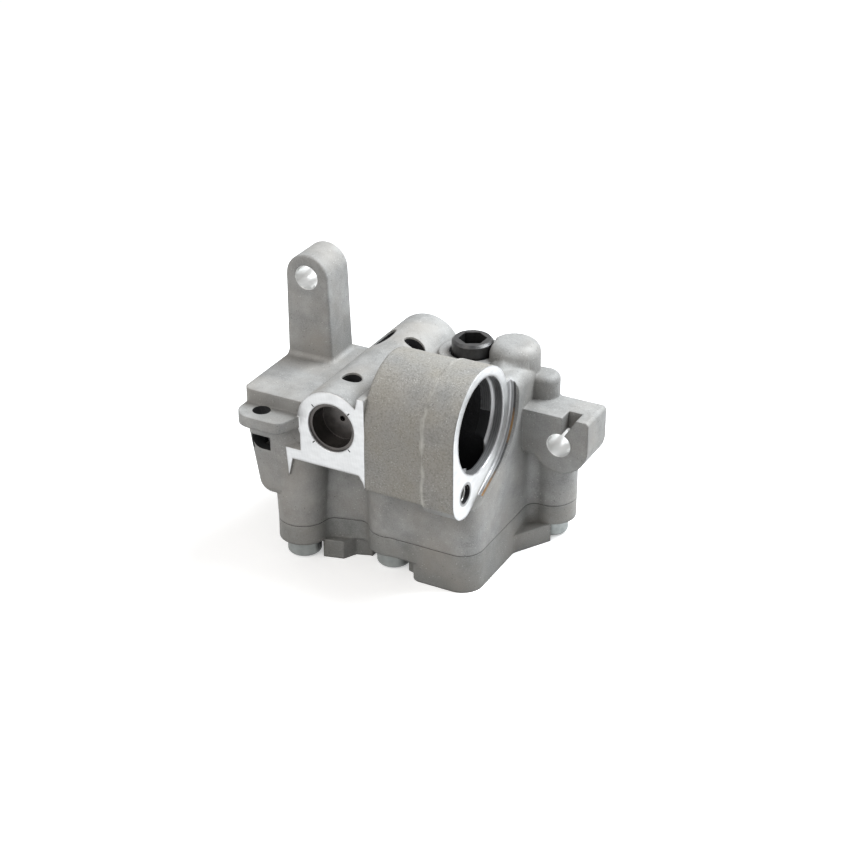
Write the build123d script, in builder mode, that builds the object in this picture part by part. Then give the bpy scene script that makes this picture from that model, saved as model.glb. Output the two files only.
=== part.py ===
from build123d import *
import os
from math import cos, hypot, pi, sin

# Engine oil pump with an inner and an outer lobed rotor, driven through a hexagon socket.
# Millimetres, +Z up.  The origin is the foot of the drive axis on the flat outer face of the cover.
# +X points out of the suction flange and -Y out of the milled control valve face.

os.makedirs("parts", exist_ok=True)

# ---------------------------------------------------------------- fits
snug_gap = 0.02          # radial, between parts that are pressed or screwed home
running_gap = 0.04       # radial, between a turning or sliding part and its bore
end_float = 0.06         # axial, of the rotors between cover and roof
screw_hole_gap = 0.5     # radial, of the cover screws in the cover

# ---------------------------------------------------------------- rotor set
inner_lobes = 6
eccentricity = 2.0
lobe_radius = 6.0            # of the round teeth in the outer rotor
lobe_pitch_radius = 19.5     # from the outer rotor's centre to the centres of its teeth
mesh_gap = 0.08              # between the lobes of the two rotors
outer_rotor_radius = 21.0
rotor_height = 30.0
tooth_root_fillet = 1.2
points_per_lobe = 12

# ---------------------------------------------------------------- drive shaft
shaft_radius = 7.5
journal_radius = 6.0
hex_across_flats = 9.0
hex_depth = 16.0
hub_standout = 5.0
hub_chamfer = 0.9
hex_turn = 28             # degrees, of the hexagon about the drive axis at rest
drive_pin_radius = 2.0
drive_pin_length = 21.0
drive_pin_drop = 3.5         # of the pin's axis below the top of the rotors
bush_wall = 2.0
upper_bush_length = 16.0
lower_bush_length = 10.0

# ---------------------------------------------------------------- cover and joint face
cover_thickness = 15.0
cover_rim = 7.7              # height of the upper step of the cover, on which the screws bear
lower_box_left_x = -0.5      # of the lower step under the suction box
lower_box_corner = 4.0
shelf_cut = [                # notch in the lower step beside the front screw
    (-27.9, -52.0),
    (-27.9, -46.1),
    (-25.3, -41.3),
    (-20.4, -39.6),
    (-14.0, -39.6),
    (-14.0, -52.0),
]
shelf_reach = 3.0            # of the lower step past the line of the screws
shelf_web_width = 10.4
shelf_flank_y = -14.0        # where the lower step leaves the right wall
shelf_flank_end = (32.8, -0.1)
lower_bush_floor = 4.0       # metal left under the lower journal

screw_radius = 4.0
screw_head_radius = 6.2
screw_head_height = 6.9
screw_head_fillet = 1.3
screw_engagement = 17.0
screw_socket_flats = 6.0
screw_socket_depth = 4.0
screw_boss_radius = 9.0
head_clearance_radius = 8.4
front_left_screw = (-43.5, -47.0)
front_screw = (-11.2, -38.6)
right_screw = (29.5, 7.9)
rear_screw = (10.0, 27.5)
rear_left_screw = (-34.0, 24.0)
left_screw = (-46.0, -10.0)

dowel_radius = 3.0
dowel_length = 12.0
dowel_boss_radius = 6.5
dowel_chamfer = 0.5
front_dowel = (-27.5, -34.5)
rear_dowel = (21.5, 17.5)

# ---------------------------------------------------------------- housing, lower casting
pocket_wall = 5.4
core_front_y = -47.0
core_corner_radius = 8.0
web_blend = 4.0              # radius of the hollows between the bosses
roof_thickness = 7.0
core_top_fillet = 3.5
column_drop = 4.06           # of the tops of the screw columns below the top of the core
front_column_growth = 1.4    # draft of the front left column, out to its widest level and back
knob_radius = 5.2            # of the round knob that stands on the right column
knob_center = (26.6, 5.5)
knob_height = 17.5
knob_fillet = 2.5
knob_web_center = (18.0, 4.5)

# ---------------------------------------------------------------- housing, hub and shoulder
hub_boss_radius = 12.0
hub_boss_height = 25.0       # above the roof of the rotor pocket
hub_recess_radius = 8.4
hub_recess_depth = 4.0
hump_radius = 9.4
hump_rise = 6.0              # above the hub boss
hump_center_y = 3.4
hump_fillet = 4.5
shoulder_width = 14.0
shoulder_fillet = 5.0
saddle_height = 23.4         # of the web from the hub to the valve barrel, above the roof
saddle_front_y = -14.0
saddle_rear_y = 9.0

# ---------------------------------------------------------------- suction side
flange_recess = 2.1          # of the milled flange behind the right wall
suction_axis_y = -37.5
suction_axis_rise = 18.1     # above the roof of the rotor pocket
suction_spigot_radius = 17.2
suction_spigot_depth = 4.0
suction_bore_radius = 16.4
barrel_end_wall = 5.0
barrel_length = 34.3
barrel_radius = 20.2
collar_radius = 20.8
collar_length = 12.0
barrel_lip_radius = 1.5
barrel_lip_drop = 23.3      # of the lip's centre below the suction axis
flange_ear_radius = 9.2
flange_ear_offset_y = -11.5
flange_ear_drop = 21.0
flange_thread_radius = 3.4   # core of an M8 thread
flange_thread_depth = 16.0
relief_groove_radius = 25.0
relief_groove_depth = 1.2
chamber_wall = 4.6
chamber_width = 20.0
chamber_depth = 17.0
chamber_corner_radius = 4.0

# ---------------------------------------------------------------- control valve
valve_axis_x = -24.9
valve_axis_rise = 14.8       # above the roof of the rotor pocket
valve_face_y = -57.8
valve_bore_radius = 9.1
valve_barrel_radius = 13.5
valve_barrel_end_y = 16.0
valve_barrel_end_fillet = 3.0
valve_seat_y = 5.0
valve_nose_bore_radius = 7.0
valve_nose_bore_length = 8.0
face_block_reach = 12.4      # of the milled face to the left of the valve axis
face_block_drop = 15.9       # of the milled face below the valve axis
face_block_depth = 11.0
face_spur_width = 6.0        # of the spur that runs the face out over the front left column
face_spur_root = 2.6
face_spur_drop = 7.0
face_flare = 2.3             # of the foot of the face towards the suction barrel
face_strip_height = 13.6     # of the strip between the two barrels, above the valve axis
face_strip_width = 2.6
windows = [                  # x and y of each relief window, and its two half widths
    (-24.3, -43.9, 3.6, 3.3),
    (-31.0, -8.6, 2.6, 7.2),
    (-19.0, -8.2, 4.0, 3.0),
]
cap_inset = 0.8              # of the cap's rim behind the milled face
cap_depth = 8.0
cap_wall = 1.3
cap_vent_radius = 1.0
piston_length = 26.0
piston_pocket_depth = 14.0
piston_wall = 1.9
piston_groove_width = 1.2
piston_groove_depth = 0.7
piston_grooves = 4
piston_travel = 8.0
control_coil_radius = 6.0
control_wire_radius = 0.9
control_coils = 7

# ---------------------------------------------------------------- left casting and its lugs
deck_rise = 20.9             # of the flat deck above the roof of the rotor pocket
left_wall_x = -61.2
left_block_front_y = -56.0
left_block_rear_y = 8.0
deck_rear_y = -10.6          # of the flat deck, level with the back of the tall lug
deck_step = 9.0              # down to the rear of the left casting
left_block_bottom_z = 25.5
left_block_taper = 5.0
left_block_straight = 14.0
left_block_fillet = 5.5
deck_corner_radius = 3.0
tab_thickness = 4.0
tab_drop = 5.0               # of the tab's top below the deck
tab_front_y = -66.3
tab_right_x = -41.2
tab_hole_radius = 3.2
tab_hole_center = (-51.7, -59.3)
tab_corner_radius = 6.8
tab_inner_corner_radius = 3.0
tall_lug_hole_radius = 4.5
tall_lug_radius = 8.4
tall_lug_axis_x = -53.0
tall_lug_axis_rise = 31.2    # above the deck
tall_lug_front_y = -25.1
tall_lug_thickness = 14.5
tall_lug_flare = 1.4
tall_lug_foot_fillet = 2.0
tall_lug_edge_fillet = 0.9

# ---------------------------------------------------------------- right lug with its slit hole
hook_hole_radius = 4.5
hook_radius = 10.9
hook_axis = (38.6, 45.8)
hook_rise = 11.0             # of the top of the lug above the hole
hook_front_y = -9.1
hook_thickness = 16.0
hook_chamfer = 1.0
hook_relief_radius = 5.2     # of the room for the screw's end in the flank of the right column
hook_relief_depth = 10.0
notch_width = 5.3            # at the top of the lug
notch_floor_width = 1.0
notch_offset = 0.9           # of the straight side of the notch from the hole's axis
notch_depth = 7.0
notch_run = 6.0              # from the front face into the lug

# ---------------------------------------------------------------- pressure side
pressure_chamber_width = 7.0
pressure_chamber_length = 17.0
pressure_chamber_corner = 2.0
pressure_chamber_y = 5.5
outlet_axis_y = 7.0
outlet_axis_rise = 15.0      # above the joint face
outlet_bore_radius = 7.0
outlet_boss_radius = 12.0
outlet_face_x = -61.4
outlet_seal_radius = 9.4
outlet_seal_wire = 1.0
outlet_seal_standout = 0.35
feed_center = (-30.0, 9.5)   # of the hole that takes the pressure up to the control valve
feed_radius = 2.5
feed_wall = 3.0
kidney_width = 5.4
kidney_radius = 14.8
kidney_sweep = 132.0
kidney_depth = 9.0
roof_kidney_depth = 3.5

# ---------------------------------------------------------------- safety valve
safety_axis_x = -50.5
safety_axis_rise = 31.0      # above the joint face
safety_bore_radius = 6.0
safety_front_wall = 4.0
safety_ball_radius = 5.2
safety_seat_bore_radius = 3.4
safety_seat_length = 6.0
safety_seat_y = -10.0        # rear face of the seat
safety_plug_length = 5.0
plug_socket_flats = 6.0
safety_travel = 3.0
safety_wire_radius = 0.7
safety_coil_radius = 4.2
safety_coils = 7
wire_sides = 8               # facets round the spring wire
gallery_radius = 3.5
gallery_y = -1.5
gallery_plug_length = 3.0
drain_width = 7.3
drain_height = 5.1
drain_offset = 4.0           # of the drain's centre towards the left wall
drain_corner_radius = 4.0

# ---------------------------------------------------------------- levels and places that follow
joint_z = cover_thickness
pocket_radius = outer_rotor_radius + running_gap
pocket_center = (-eccentricity, 0.0)
roof_z = joint_z + rotor_height + end_float
rotor_z = joint_z + end_float / 2
core_top_z = roof_z + roof_thickness
column_height = core_top_z - joint_z - column_drop
hub_boss_z = roof_z + hub_boss_height
hub_top_z = hub_boss_z + hub_standout
right_wall_x = pocket_radius - eccentricity + pocket_wall
flange_x = right_wall_x - flange_recess
suction_axis_z = roof_z + suction_axis_rise
barrel_left_x = flange_x - barrel_length
valve_axis_z = roof_z + valve_axis_rise
deck_z = roof_z + deck_rise
tab_top_z = deck_z - tab_drop
tall_lug_axis_z = deck_z + tall_lug_axis_rise
screw_pad_z = joint_z - cover_rim
upper_bush_radius = shaft_radius + running_gap + bush_wall
lower_bush_radius = journal_radius + running_gap + bush_wall
bush_bore_length = upper_bush_length + snug_gap
flange_ear = (suction_axis_y + flange_ear_offset_y, suction_axis_z - flange_ear_drop)
outlet_axis_z = joint_z + outlet_axis_rise
safety_axis_z = joint_z + safety_axis_rise
safety_bore_front_y = left_block_front_y + safety_front_wall
safety_center = (safety_axis_x, safety_axis_z)
seal_groove_depth = 2 * outlet_seal_wire - outlet_seal_standout
hole_overrun = 2.0           # of the tapped holes past the ends of the screws
thread_end_z = joint_z + screw_engagement + hole_overrun
pressure_chamber_x = pocket_center[0] - pocket_radius - pocket_wall - pressure_chamber_width / 2
screw_places = [front_left_screw, front_screw, right_screw, rear_screw, rear_left_screw, left_screw]
dowel_places = [front_dowel, rear_dowel]


# ---------------------------------------------------------------- shared sections and cuts
def cut_round(plane, center, radius, depth):
    """Bore a round hole into the current part, from a plane and against its normal."""
    with BuildSketch(plane) as mouth:
        with Locations(center):
            Circle(radius)
    extrude(mouth.sketch, amount=-depth, mode=Mode.SUBTRACT)


def add_round(plane, center, radius, length):
    """Add a round bar to the current part, from a plane and against its normal."""
    with BuildSketch(plane) as foot:
        with Locations(center):
            Circle(radius)
    extrude(foot.sketch, amount=-length)


def joint_outline(height, web_reach=0):
    """Outline of the joint face: rotor pocket, suction box, web between the screws, and bosses."""
    with BuildSketch(Plane.XY.offset(height)) as outline:
        with Locations(pocket_center):
            Circle(pocket_radius + pocket_wall)
        with BuildSketch(mode=Mode.ADD):
            with BuildLine():
                Polyline(*screw_places, close=True)
            make_face()
            if web_reach > 0:
                offset(amount=web_reach, kind=Kind.ARC)
        add(suction_box().sketch_local)
        if web_reach == 0:
            with Locations(*screw_places):
                Circle(screw_boss_radius)
        with Locations(*dowel_places):
            Circle(dowel_boss_radius)
        offset(amount=web_blend, kind=Kind.ARC)
        offset(amount=-web_blend, kind=Kind.ARC)
    return outline


def suction_box(height=0):
    """Plan of the box round the suction chamber, square to the two milled faces."""
    box_left_x = barrel_left_x - pocket_wall
    with BuildSketch(Plane.XY.offset(height)) as box:
        with BuildLine():
            Polyline(
                (box_left_x, 0),
                (box_left_x, core_front_y),
                (right_wall_x, core_front_y),
                (right_wall_x, 0),
                close=True,
            )
        make_face()
        fillet(box.vertices().group_by(Axis.Y)[0], radius=core_corner_radius)
    return box


def suction_chamber_plan(height):
    """Plan of the suction chamber inside the box."""
    chamber_x = right_wall_x - pocket_wall - chamber_width / 2
    chamber_y = core_front_y + chamber_wall + chamber_depth / 2
    with BuildSketch(Plane.XY.offset(height)) as chamber:
        with Locations((chamber_x, chamber_y)):
            RectangleRounded(chamber_width, chamber_depth, chamber_corner_radius)
    return chamber


def pressure_chamber_plan(height):
    """Plan of the pressure chamber beside the rotor pocket."""
    with BuildSketch(Plane.XY.offset(height)) as chamber:
        with Locations((pressure_chamber_x, pressure_chamber_y)):
            RectangleRounded(
                pressure_chamber_width, pressure_chamber_length, pressure_chamber_corner
            )
    return chamber


def kidney_plan(height, middle_angle):
    """Kidney port under or over the rotors, centred between the two rotor axes."""
    start = middle_angle - kidney_sweep / 2
    with BuildSketch(Plane.XY.offset(height)) as kidney:
        SlotArc(CenterArc((-eccentricity / 2, 0), kidney_radius, start, kidney_sweep), kidney_width)
    return kidney


def pear_section(plane, radius, lower_center, lower_radius):
    """Round section about the suction axis, drawn out to a smaller round below it."""
    with BuildSketch(plane) as pear:
        with Locations((suction_axis_y, suction_axis_z)):
            Circle(radius)
        with Locations(lower_center):
            Circle(lower_radius)
        make_hull()
    return pear


def coil_spring(start, length, coil_radius, wire_radius, coils):
    """Compression spring of round wire, from a start point along +Y."""
    pitch = (length - 2 * wire_radius) / coils
    first_turn = (start[0], start[1] + wire_radius, start[2])
    with BuildPart() as spring:
        with BuildLine() as path:
            Helix(pitch, pitch * coils, coil_radius, center=first_turn, direction=(0, 1, 0))
        with BuildSketch(path.line ^ 0):
            RegularPolygon(wire_radius, wire_sides)
        sweep(path=path.line, is_frenet=True)
    return spring


# ---------------------------------------------------------------- pump housing
inlet_angle = 270
outlet_angle = 90
valve_face = Plane.XZ.offset(-valve_face_y)
flange_face = Plane.YZ.offset(flange_x)
valve_center = (valve_axis_x, valve_axis_z)
suction_center = (suction_axis_y, suction_axis_z)

with BuildPart() as pump_housing:
    # Core over the rotors and the suction chamber, then the outline with its screw columns.
    with BuildSketch(Plane.XY.offset(joint_z)) as core_plan:
        with Locations(pocket_center):
            Circle(pocket_radius + pocket_wall)
        add(suction_box().sketch_local)
    extrude(core_plan.sketch, amount=core_top_z - joint_z)
    fillet(pump_housing.faces().sort_by(Axis.Z)[-1].edges(), radius=core_top_fillet)
    extrude(joint_outline(joint_z).sketch, amount=column_height)

    # Front left column, drafted outwards up to the milled face and back in under the tab.
    with BuildSketch(Plane.XY.offset(joint_z)) as column_foot:
        with Locations(front_left_screw):
            Circle(screw_boss_radius)
    with BuildSketch(Plane.XY.offset(joint_z + column_height)) as column_head:
        with Locations(front_left_screw):
            Circle(screw_boss_radius + front_column_growth)
    loft([column_foot.sketch, column_head.sketch])
    with BuildSketch(Plane.XY.offset(tab_top_z - tab_thickness / 2)) as column_neck:
        with Locations(front_left_screw):
            Circle(screw_boss_radius - front_column_growth)
    loft([column_head.sketch, column_neck.sketch])

    # Round knob on the right column, behind the slit lug, webbed to the hump.
    knob_top_z = joint_z + column_height + knob_height
    with BuildPart(mode=Mode.PRIVATE) as knob:
        with BuildSketch(Plane.XY.offset(knob_top_z)) as knob_plan:
            with Locations(knob_center, knob_web_center):
                Circle(knob_radius)
            make_hull()
        extrude(knob_plan.sketch, amount=-knob_height - knob_fillet)
        fillet(knob.faces().sort_by(Axis.Z)[-1].edges(), radius=knob_fillet)
    add(knob.part)

    # Hub boss on the roof, the web to the valve barrel, the shoulder and the hump behind it.
    add_round(Plane.XY.offset(hub_boss_z), (0, 0), hub_boss_radius, hub_boss_z - roof_z)
    with BuildSketch(Plane.XY.offset(roof_z)) as saddle:
        with BuildLine():
            Polyline(
                (valve_axis_x, saddle_front_y),
                (0, -hub_boss_radius),
                (0, hub_boss_radius - web_blend),
                (valve_axis_x, saddle_rear_y),
                close=True,
            )
        make_face()
    extrude(saddle.sketch, amount=saddle_height)
    shoulder_left_x = right_wall_x - shoulder_width
    with BuildSketch(Plane.XZ.offset(-suction_axis_y)) as shoulder:
        with BuildLine():
            Polyline(
                (shoulder_left_x, roof_z),
                (right_wall_x, roof_z),
                (right_wall_x, hub_boss_z),
                (shoulder_left_x, hub_boss_z),
                close=True,
            )
        make_face()
        fillet(shoulder.vertices().group_by(Axis.Y)[-1].sort_by(Axis.X)[-1], radius=shoulder_fillet)
    extrude(shoulder.sketch, amount=suction_axis_y - hump_center_y)
    with BuildPart(mode=Mode.PRIVATE) as hump:
        add_round(
            Plane.XY.offset(hub_boss_z + hump_rise),
            (right_wall_x - hump_radius, hump_center_y),
            hump_radius,
            hump_rise + hub_boss_height,
        )
        fillet(hump.edges().sort_by(Axis.Z)[-1], radius=hump_fillet)
    add(hump.part)

    # Barrel of the control valve, with its milled face in front and a domed end behind.
    valve_axis = Axis((valve_axis_x, 0, valve_axis_z), (0, 1, 0))
    with BuildSketch(Plane.YZ.offset(valve_axis_x)) as valve_barrel:
        with BuildLine():
            Polyline(
                (valve_face_y, valve_axis_z),
                (valve_face_y, valve_axis_z + valve_barrel_radius),
                (valve_barrel_end_y, valve_axis_z + valve_barrel_radius),
                (valve_barrel_end_y, valve_axis_z),
                close=True,
            )
        make_face()
        rear_rim = valve_barrel.vertices().group_by(Axis.Y)[-1].sort_by(Axis.X)[-1]
        fillet(rear_rim, radius=valve_barrel_end_fillet)
    revolve(valve_barrel.sketch, axis=valve_axis)
    face_left_x = valve_axis_x - face_block_reach
    face_bottom_z = valve_axis_z - face_block_drop
    spur_top_z = joint_z + column_height
    with BuildSketch(valve_face) as face_block:
        with BuildLine():
            Polyline(
                (face_left_x, valve_axis_z),
                (face_left_x, spur_top_z),
                (face_left_x - face_spur_width, spur_top_z),
                (face_left_x - face_spur_width + 1, face_bottom_z - face_spur_drop),
                (face_left_x - face_spur_width + face_spur_root, face_bottom_z),
                (barrel_left_x - face_flare, face_bottom_z),
                (barrel_left_x - face_flare / 3, face_bottom_z - face_flare),
                (barrel_left_x, face_bottom_z - 2 * face_flare),
                (barrel_left_x, valve_axis_z + face_strip_height),
                (barrel_left_x - face_strip_width, valve_axis_z + face_strip_height),
                (barrel_left_x - 2 * face_strip_width, valve_axis_z),
                close=True,
            )
        make_face()
    extrude(face_block.sketch, amount=-face_block_depth)

    # Left casting: a tapered box under the flat deck, carrying the tab and the tall lug.
    left_block_right_x = valve_axis_x - valve_barrel_radius / 2
    with BuildSketch(Plane.XZ.offset(-left_block_front_y)) as left_block:
        with BuildLine():
            Polyline(
                (left_wall_x, deck_z),
                (left_wall_x, deck_z - left_block_straight),
                (left_wall_x + left_block_taper, left_block_bottom_z),
                (front_left_screw[0], left_block_bottom_z),
                (front_left_screw[0], joint_z + column_height),
                (left_block_right_x, joint_z + column_height),
                (left_block_right_x, deck_z),
                close=True,
            )
        make_face()
        fillet(left_block.vertices().group_by(Axis.Y)[0].sort_by(Axis.X)[0], radius=left_block_fillet)
    with BuildPart(mode=Mode.PRIVATE) as left_casting:
        extrude(left_block.sketch, amount=left_block_front_y - left_block_rear_y)
        corner_edges = left_casting.faces().sort_by(Axis.Y)[0].edges()
        corner_edges = corner_edges.filter_by_position(
            Axis.X, left_wall_x - 0.1, left_wall_x + left_block_taper
        )
        fillet(corner_edges, radius=deck_corner_radius)
        with BuildSketch(Plane.XY.offset(deck_z)) as deck_cut:
            with BuildLine():
                Polyline(
                    (left_wall_x, deck_rear_y),
                    (left_block_right_x, deck_rear_y),
                    (left_block_right_x, left_block_rear_y),
                    (left_wall_x, left_block_rear_y),
                    close=True,
                )
            make_face()
        extrude(deck_cut.sketch, amount=-deck_step, mode=Mode.SUBTRACT)
    add(left_casting.part)

    with BuildSketch(Plane.XY.offset(tab_top_z)) as tab_plan:
        with BuildLine():
            tab_left_x = tab_hole_center[0] - tab_corner_radius - tall_lug_flare
            Polyline(
                (tab_left_x, left_block_front_y + tab_thickness),
                (tab_left_x, tab_front_y),
                (tab_right_x, tab_front_y),
                (tab_right_x + tab_thickness, valve_face_y + 1),
                (tab_right_x + tab_thickness, left_block_front_y + tab_thickness),
                close=True,
            )
        make_face()
        tab_front_corners = tab_plan.vertices().group_by(Axis.Y)[0].sort_by(Axis.X)
        fillet(tab_front_corners[0], radius=tab_corner_radius)
        fillet(
            tab_plan.vertices().sort_by_distance((tab_right_x, tab_front_y))[0],
            radius=tab_inner_corner_radius,
        )
    extrude(tab_plan.sketch, amount=-tab_thickness)

    tab_foot_z = tab_top_z - tab_thickness
    with BuildSketch(Plane.YZ.offset(face_left_x)) as tab_web:
        with BuildLine():
            Polyline(
                (valve_face_y, spur_top_z),
                (valve_face_y + 2 * tab_thickness, tab_foot_z),
                (left_block_front_y + 3 * tab_thickness, tab_foot_z),
                (left_block_front_y + 3 * tab_thickness, spur_top_z),
                close=True,
            )
        make_face()
    extrude(tab_web.sketch, amount=-face_spur_width)

    with BuildSketch(Plane.XZ.offset(-tall_lug_front_y)) as tall_lug:
        lug_left_x = tall_lug_axis_x - tall_lug_radius
        lug_right_x = tall_lug_axis_x + tall_lug_radius
        with Locations((tall_lug_axis_x, tall_lug_axis_z)):
            Circle(tall_lug_radius)
        with BuildLine():
            Polyline(
                (lug_left_x, tall_lug_axis_z),
                (lug_left_x, deck_z - 1),
                (lug_right_x + tall_lug_flare, deck_z - 1),
                (lug_right_x, tall_lug_axis_z),
                close=True,
            )
        make_face()
    with BuildPart(mode=Mode.PRIVATE) as lug_body:
        extrude(tall_lug.sketch, amount=-tall_lug_thickness)
        fillet(lug_body.faces().sort_by(Axis.Y)[0].edges(), radius=tall_lug_edge_fillet)
    add(lug_body.part)
    lug_foot = pump_housing.edges().filter_by_position(Axis.Z, deck_z - 0.01, deck_z + 0.01)
    lug_foot = lug_foot.filter_by_position(Axis.X, lug_left_x + 1, lug_right_x + 2)
    lug_foot = lug_foot.filter_by_position(
        Axis.Y, tall_lug_front_y - 0.01, tall_lug_front_y + tall_lug_thickness + 0.01
    )
    fillet(lug_foot, radius=tall_lug_foot_fillet)

    # Slit lug on the right, square to the wall.
    hook_x, hook_z = hook_axis
    with BuildSketch(Plane.XZ.offset(-hook_front_y)) as hook_lug:
        with Locations(hook_axis):
            Circle(hook_radius)
        with BuildLine():
            Polyline(
                (right_wall_x - pocket_wall / 2, hook_z - hook_radius / 2),
                (right_wall_x - pocket_wall / 2, hook_z + hook_rise),
                (hook_x + hook_radius - hook_chamfer, hook_z + hook_rise),
                (hook_x + hook_radius, hook_z + hook_rise - hook_chamfer),
                (hook_x + hook_radius, hook_z),
                (hook_x, hook_z - hook_radius / 2),
                close=True,
            )
        make_face()
    extrude(hook_lug.sketch, amount=-hook_thickness)

    # Suction barrel lying along +X, with a thicker collar and a pear-shaped flange.
    lip_center = (suction_axis_y - barrel_radius + barrel_lip_radius, suction_axis_z - barrel_lip_drop)
    barrel_section = pear_section(flange_face, barrel_radius, lip_center, barrel_lip_radius)
    extrude(barrel_section.sketch, amount=-barrel_length)
    collar_section = pear_section(flange_face, collar_radius, lip_center, barrel_lip_radius)
    extrude(collar_section.sketch, amount=-collar_length)
    ear_section = pear_section(flange_face, collar_radius, flange_ear, flange_ear_radius)
    extrude(ear_section.sketch, amount=-collar_length)

    # Outlet boss on the left, and the wall round the feed to the control valve.
    add_round(
        Plane.YZ.offset(pressure_chamber_x),
        (outlet_axis_y, outlet_axis_z),
        outlet_boss_radius,
        pressure_chamber_x - outlet_face_x,
    )
    add_round(
        Plane.XY.offset(valve_axis_z),
        feed_center,
        feed_radius + feed_wall,
        valve_axis_z - joint_z - column_height / 2,
    )

    # Rotor pocket, bush bore and the recess round the hub.
    cut_round(Plane.XY.offset(roof_z), pocket_center, pocket_radius, rotor_height + end_float)
    cut_round(
        Plane.XY.offset(hub_boss_z + hump_rise),
        (0, 0),
        hub_recess_radius,
        hump_rise + hub_recess_depth,
    )
    cut_round(Plane.XY.offset(hub_boss_z), (0, 0), shaft_radius + screw_hole_gap, hub_boss_height)
    cut_round(
        Plane.XY.offset(roof_z + bush_bore_length),
        (0, 0),
        upper_bush_radius + snug_gap,
        bush_bore_length,
    )
    for port_angle in (inlet_angle, outlet_angle):
        extrude(kidney_plan(roof_z, port_angle).sketch, amount=roof_kidney_depth, mode=Mode.SUBTRACT)

    # Suction side: stepped bore from the flange and the chamber down to the joint face.
    cut_round(flange_face, suction_center, suction_spigot_radius, suction_spigot_depth)
    cut_round(flange_face, suction_center, suction_bore_radius, barrel_length - barrel_end_wall)
    extrude(
        suction_chamber_plan(joint_z).sketch,
        amount=suction_axis_z - suction_bore_radius / 2 - joint_z,
        mode=Mode.SUBTRACT,
    )
    cut_round(flange_face, flange_ear, flange_thread_radius, flange_thread_depth)

    # Milled relief beside the flange, where the wall stands proud of it.
    with BuildSketch(Plane.YZ.offset(right_wall_x)) as relief:
        with Locations(suction_center):
            Circle(relief_groove_radius)
        with Locations(flange_ear):
            Circle(flange_ear_radius + relief_groove_depth)
        make_hull()
        add(ear_section.sketch_local, mode=Mode.SUBTRACT)
    extrude(relief.sketch, amount=-flange_recess - relief_groove_depth, mode=Mode.SUBTRACT)
    with BuildSketch(Plane.YZ.offset(right_wall_x)) as flange_mill:
        add(ear_section.sketch_local)
    extrude(flange_mill.sketch, amount=-flange_recess, mode=Mode.SUBTRACT)

    # Control valve bore, with the smaller nose bore that the pressure comes in through.
    valve_bore_length = valve_seat_y - valve_face_y
    cut_round(valve_face, valve_center, valve_bore_radius, valve_bore_length)
    cut_round(
        valve_face, valve_center, valve_nose_bore_radius, valve_bore_length + valve_nose_bore_length
    )

    # Relief windows through the top of the valve barrel.
    with BuildSketch(Plane.XY.offset(valve_axis_z)) as window_plan:
        for window_x, window_y, half_width, half_length in windows:
            with Locations((window_x, window_y)):
                Ellipse(half_width, half_length)
    extrude(window_plan.sketch, amount=valve_barrel_radius, mode=Mode.SUBTRACT)

    # Safety valve bore from the rear, its drain window in the front wall, and the gallery to it.
    rear_face = Plane.XZ.offset(-left_block_rear_y)
    cut_round(
        rear_face, safety_center, safety_bore_radius, safety_bore_front_y - left_block_rear_y
    )
    with BuildSketch(Plane.XZ.offset(-left_block_front_y)) as drain:
        with Locations((safety_axis_x - drain_offset, safety_axis_z)):
            Rectangle(drain_width, drain_height)
        fillet(drain.vertices().group_by(Axis.Y)[0].sort_by(Axis.X)[0], radius=drain_corner_radius)
    extrude(drain.sketch, amount=-safety_front_wall - 1, mode=Mode.SUBTRACT)
    gallery_length = pressure_chamber_x - left_wall_x
    cut_round(
        Plane.YZ.offset(pressure_chamber_x),
        (gallery_y, safety_axis_z),
        gallery_radius,
        gallery_length,
    )

    # Pressure chamber, outlet bore with its seal groove, and the feed to the control valve's nose.
    extrude(pressure_chamber_plan(joint_z).sketch, amount=column_height, mode=Mode.SUBTRACT)
    cut_round(
        Plane.YZ.offset(pressure_chamber_x),
        (outlet_axis_y, outlet_axis_z),
        outlet_bore_radius,
        pressure_chamber_x - outlet_face_x,
    )
    with BuildSketch(Plane.YZ.offset(outlet_face_x)) as seal_groove:
        with Locations((outlet_axis_y, outlet_axis_z)):
            Circle(outlet_seal_radius + outlet_seal_wire + snug_gap)
            Circle(outlet_seal_radius - outlet_seal_wire - snug_gap, mode=Mode.SUBTRACT)
    extrude(seal_groove.sketch, amount=seal_groove_depth, mode=Mode.SUBTRACT)
    cut_round(
        Plane.XY.offset(valve_axis_z), feed_center, feed_radius, valve_axis_z - joint_z - column_height + 1
    )

    # Lug holes, the slit notch, and the threads for the cover screws.
    cut_round(Plane.XY.offset(tab_top_z), tab_hole_center, tab_hole_radius, tab_thickness)
    cut_round(
        Plane.XZ.offset(-tall_lug_front_y),
        (tall_lug_axis_x, tall_lug_axis_z),
        tall_lug_hole_radius,
        tall_lug_thickness,
    )
    hook_face = Plane.XZ.offset(-hook_front_y)
    cut_round(hook_face, hook_axis, hook_hole_radius, hook_thickness)
    hook_back = Plane.XZ.offset(-hook_front_y - hook_thickness)
    cut_round(hook_back, hook_axis, hook_relief_radius, hook_relief_depth)
    with BuildSketch(hook_face) as notch:
        notch_x = hook_x + notch_offset
        notch_top_z = hook_z + hook_rise
        with BuildLine():
            Polyline(
                (notch_x, notch_top_z + 1),
                (notch_x + notch_width, notch_top_z + 1),
                (notch_x + notch_width, notch_top_z),
                (notch_x + notch_floor_width, notch_top_z - notch_depth),
                (notch_x, notch_top_z - notch_depth),
                close=True,
            )
        make_face()
    extrude(notch.sketch, amount=-notch_run, mode=Mode.SUBTRACT)
    for place in screw_places:
        cut_round(Plane.XY.offset(thread_end_z), place, screw_radius, thread_end_z - joint_z)
    for place in dowel_places:
        cut_round(
            Plane.XY.offset(joint_z + dowel_length / 2),
            place,
            dowel_radius + snug_gap,
            dowel_length / 2,
        )
pump_housing.part.label = "pump_housing"
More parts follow.
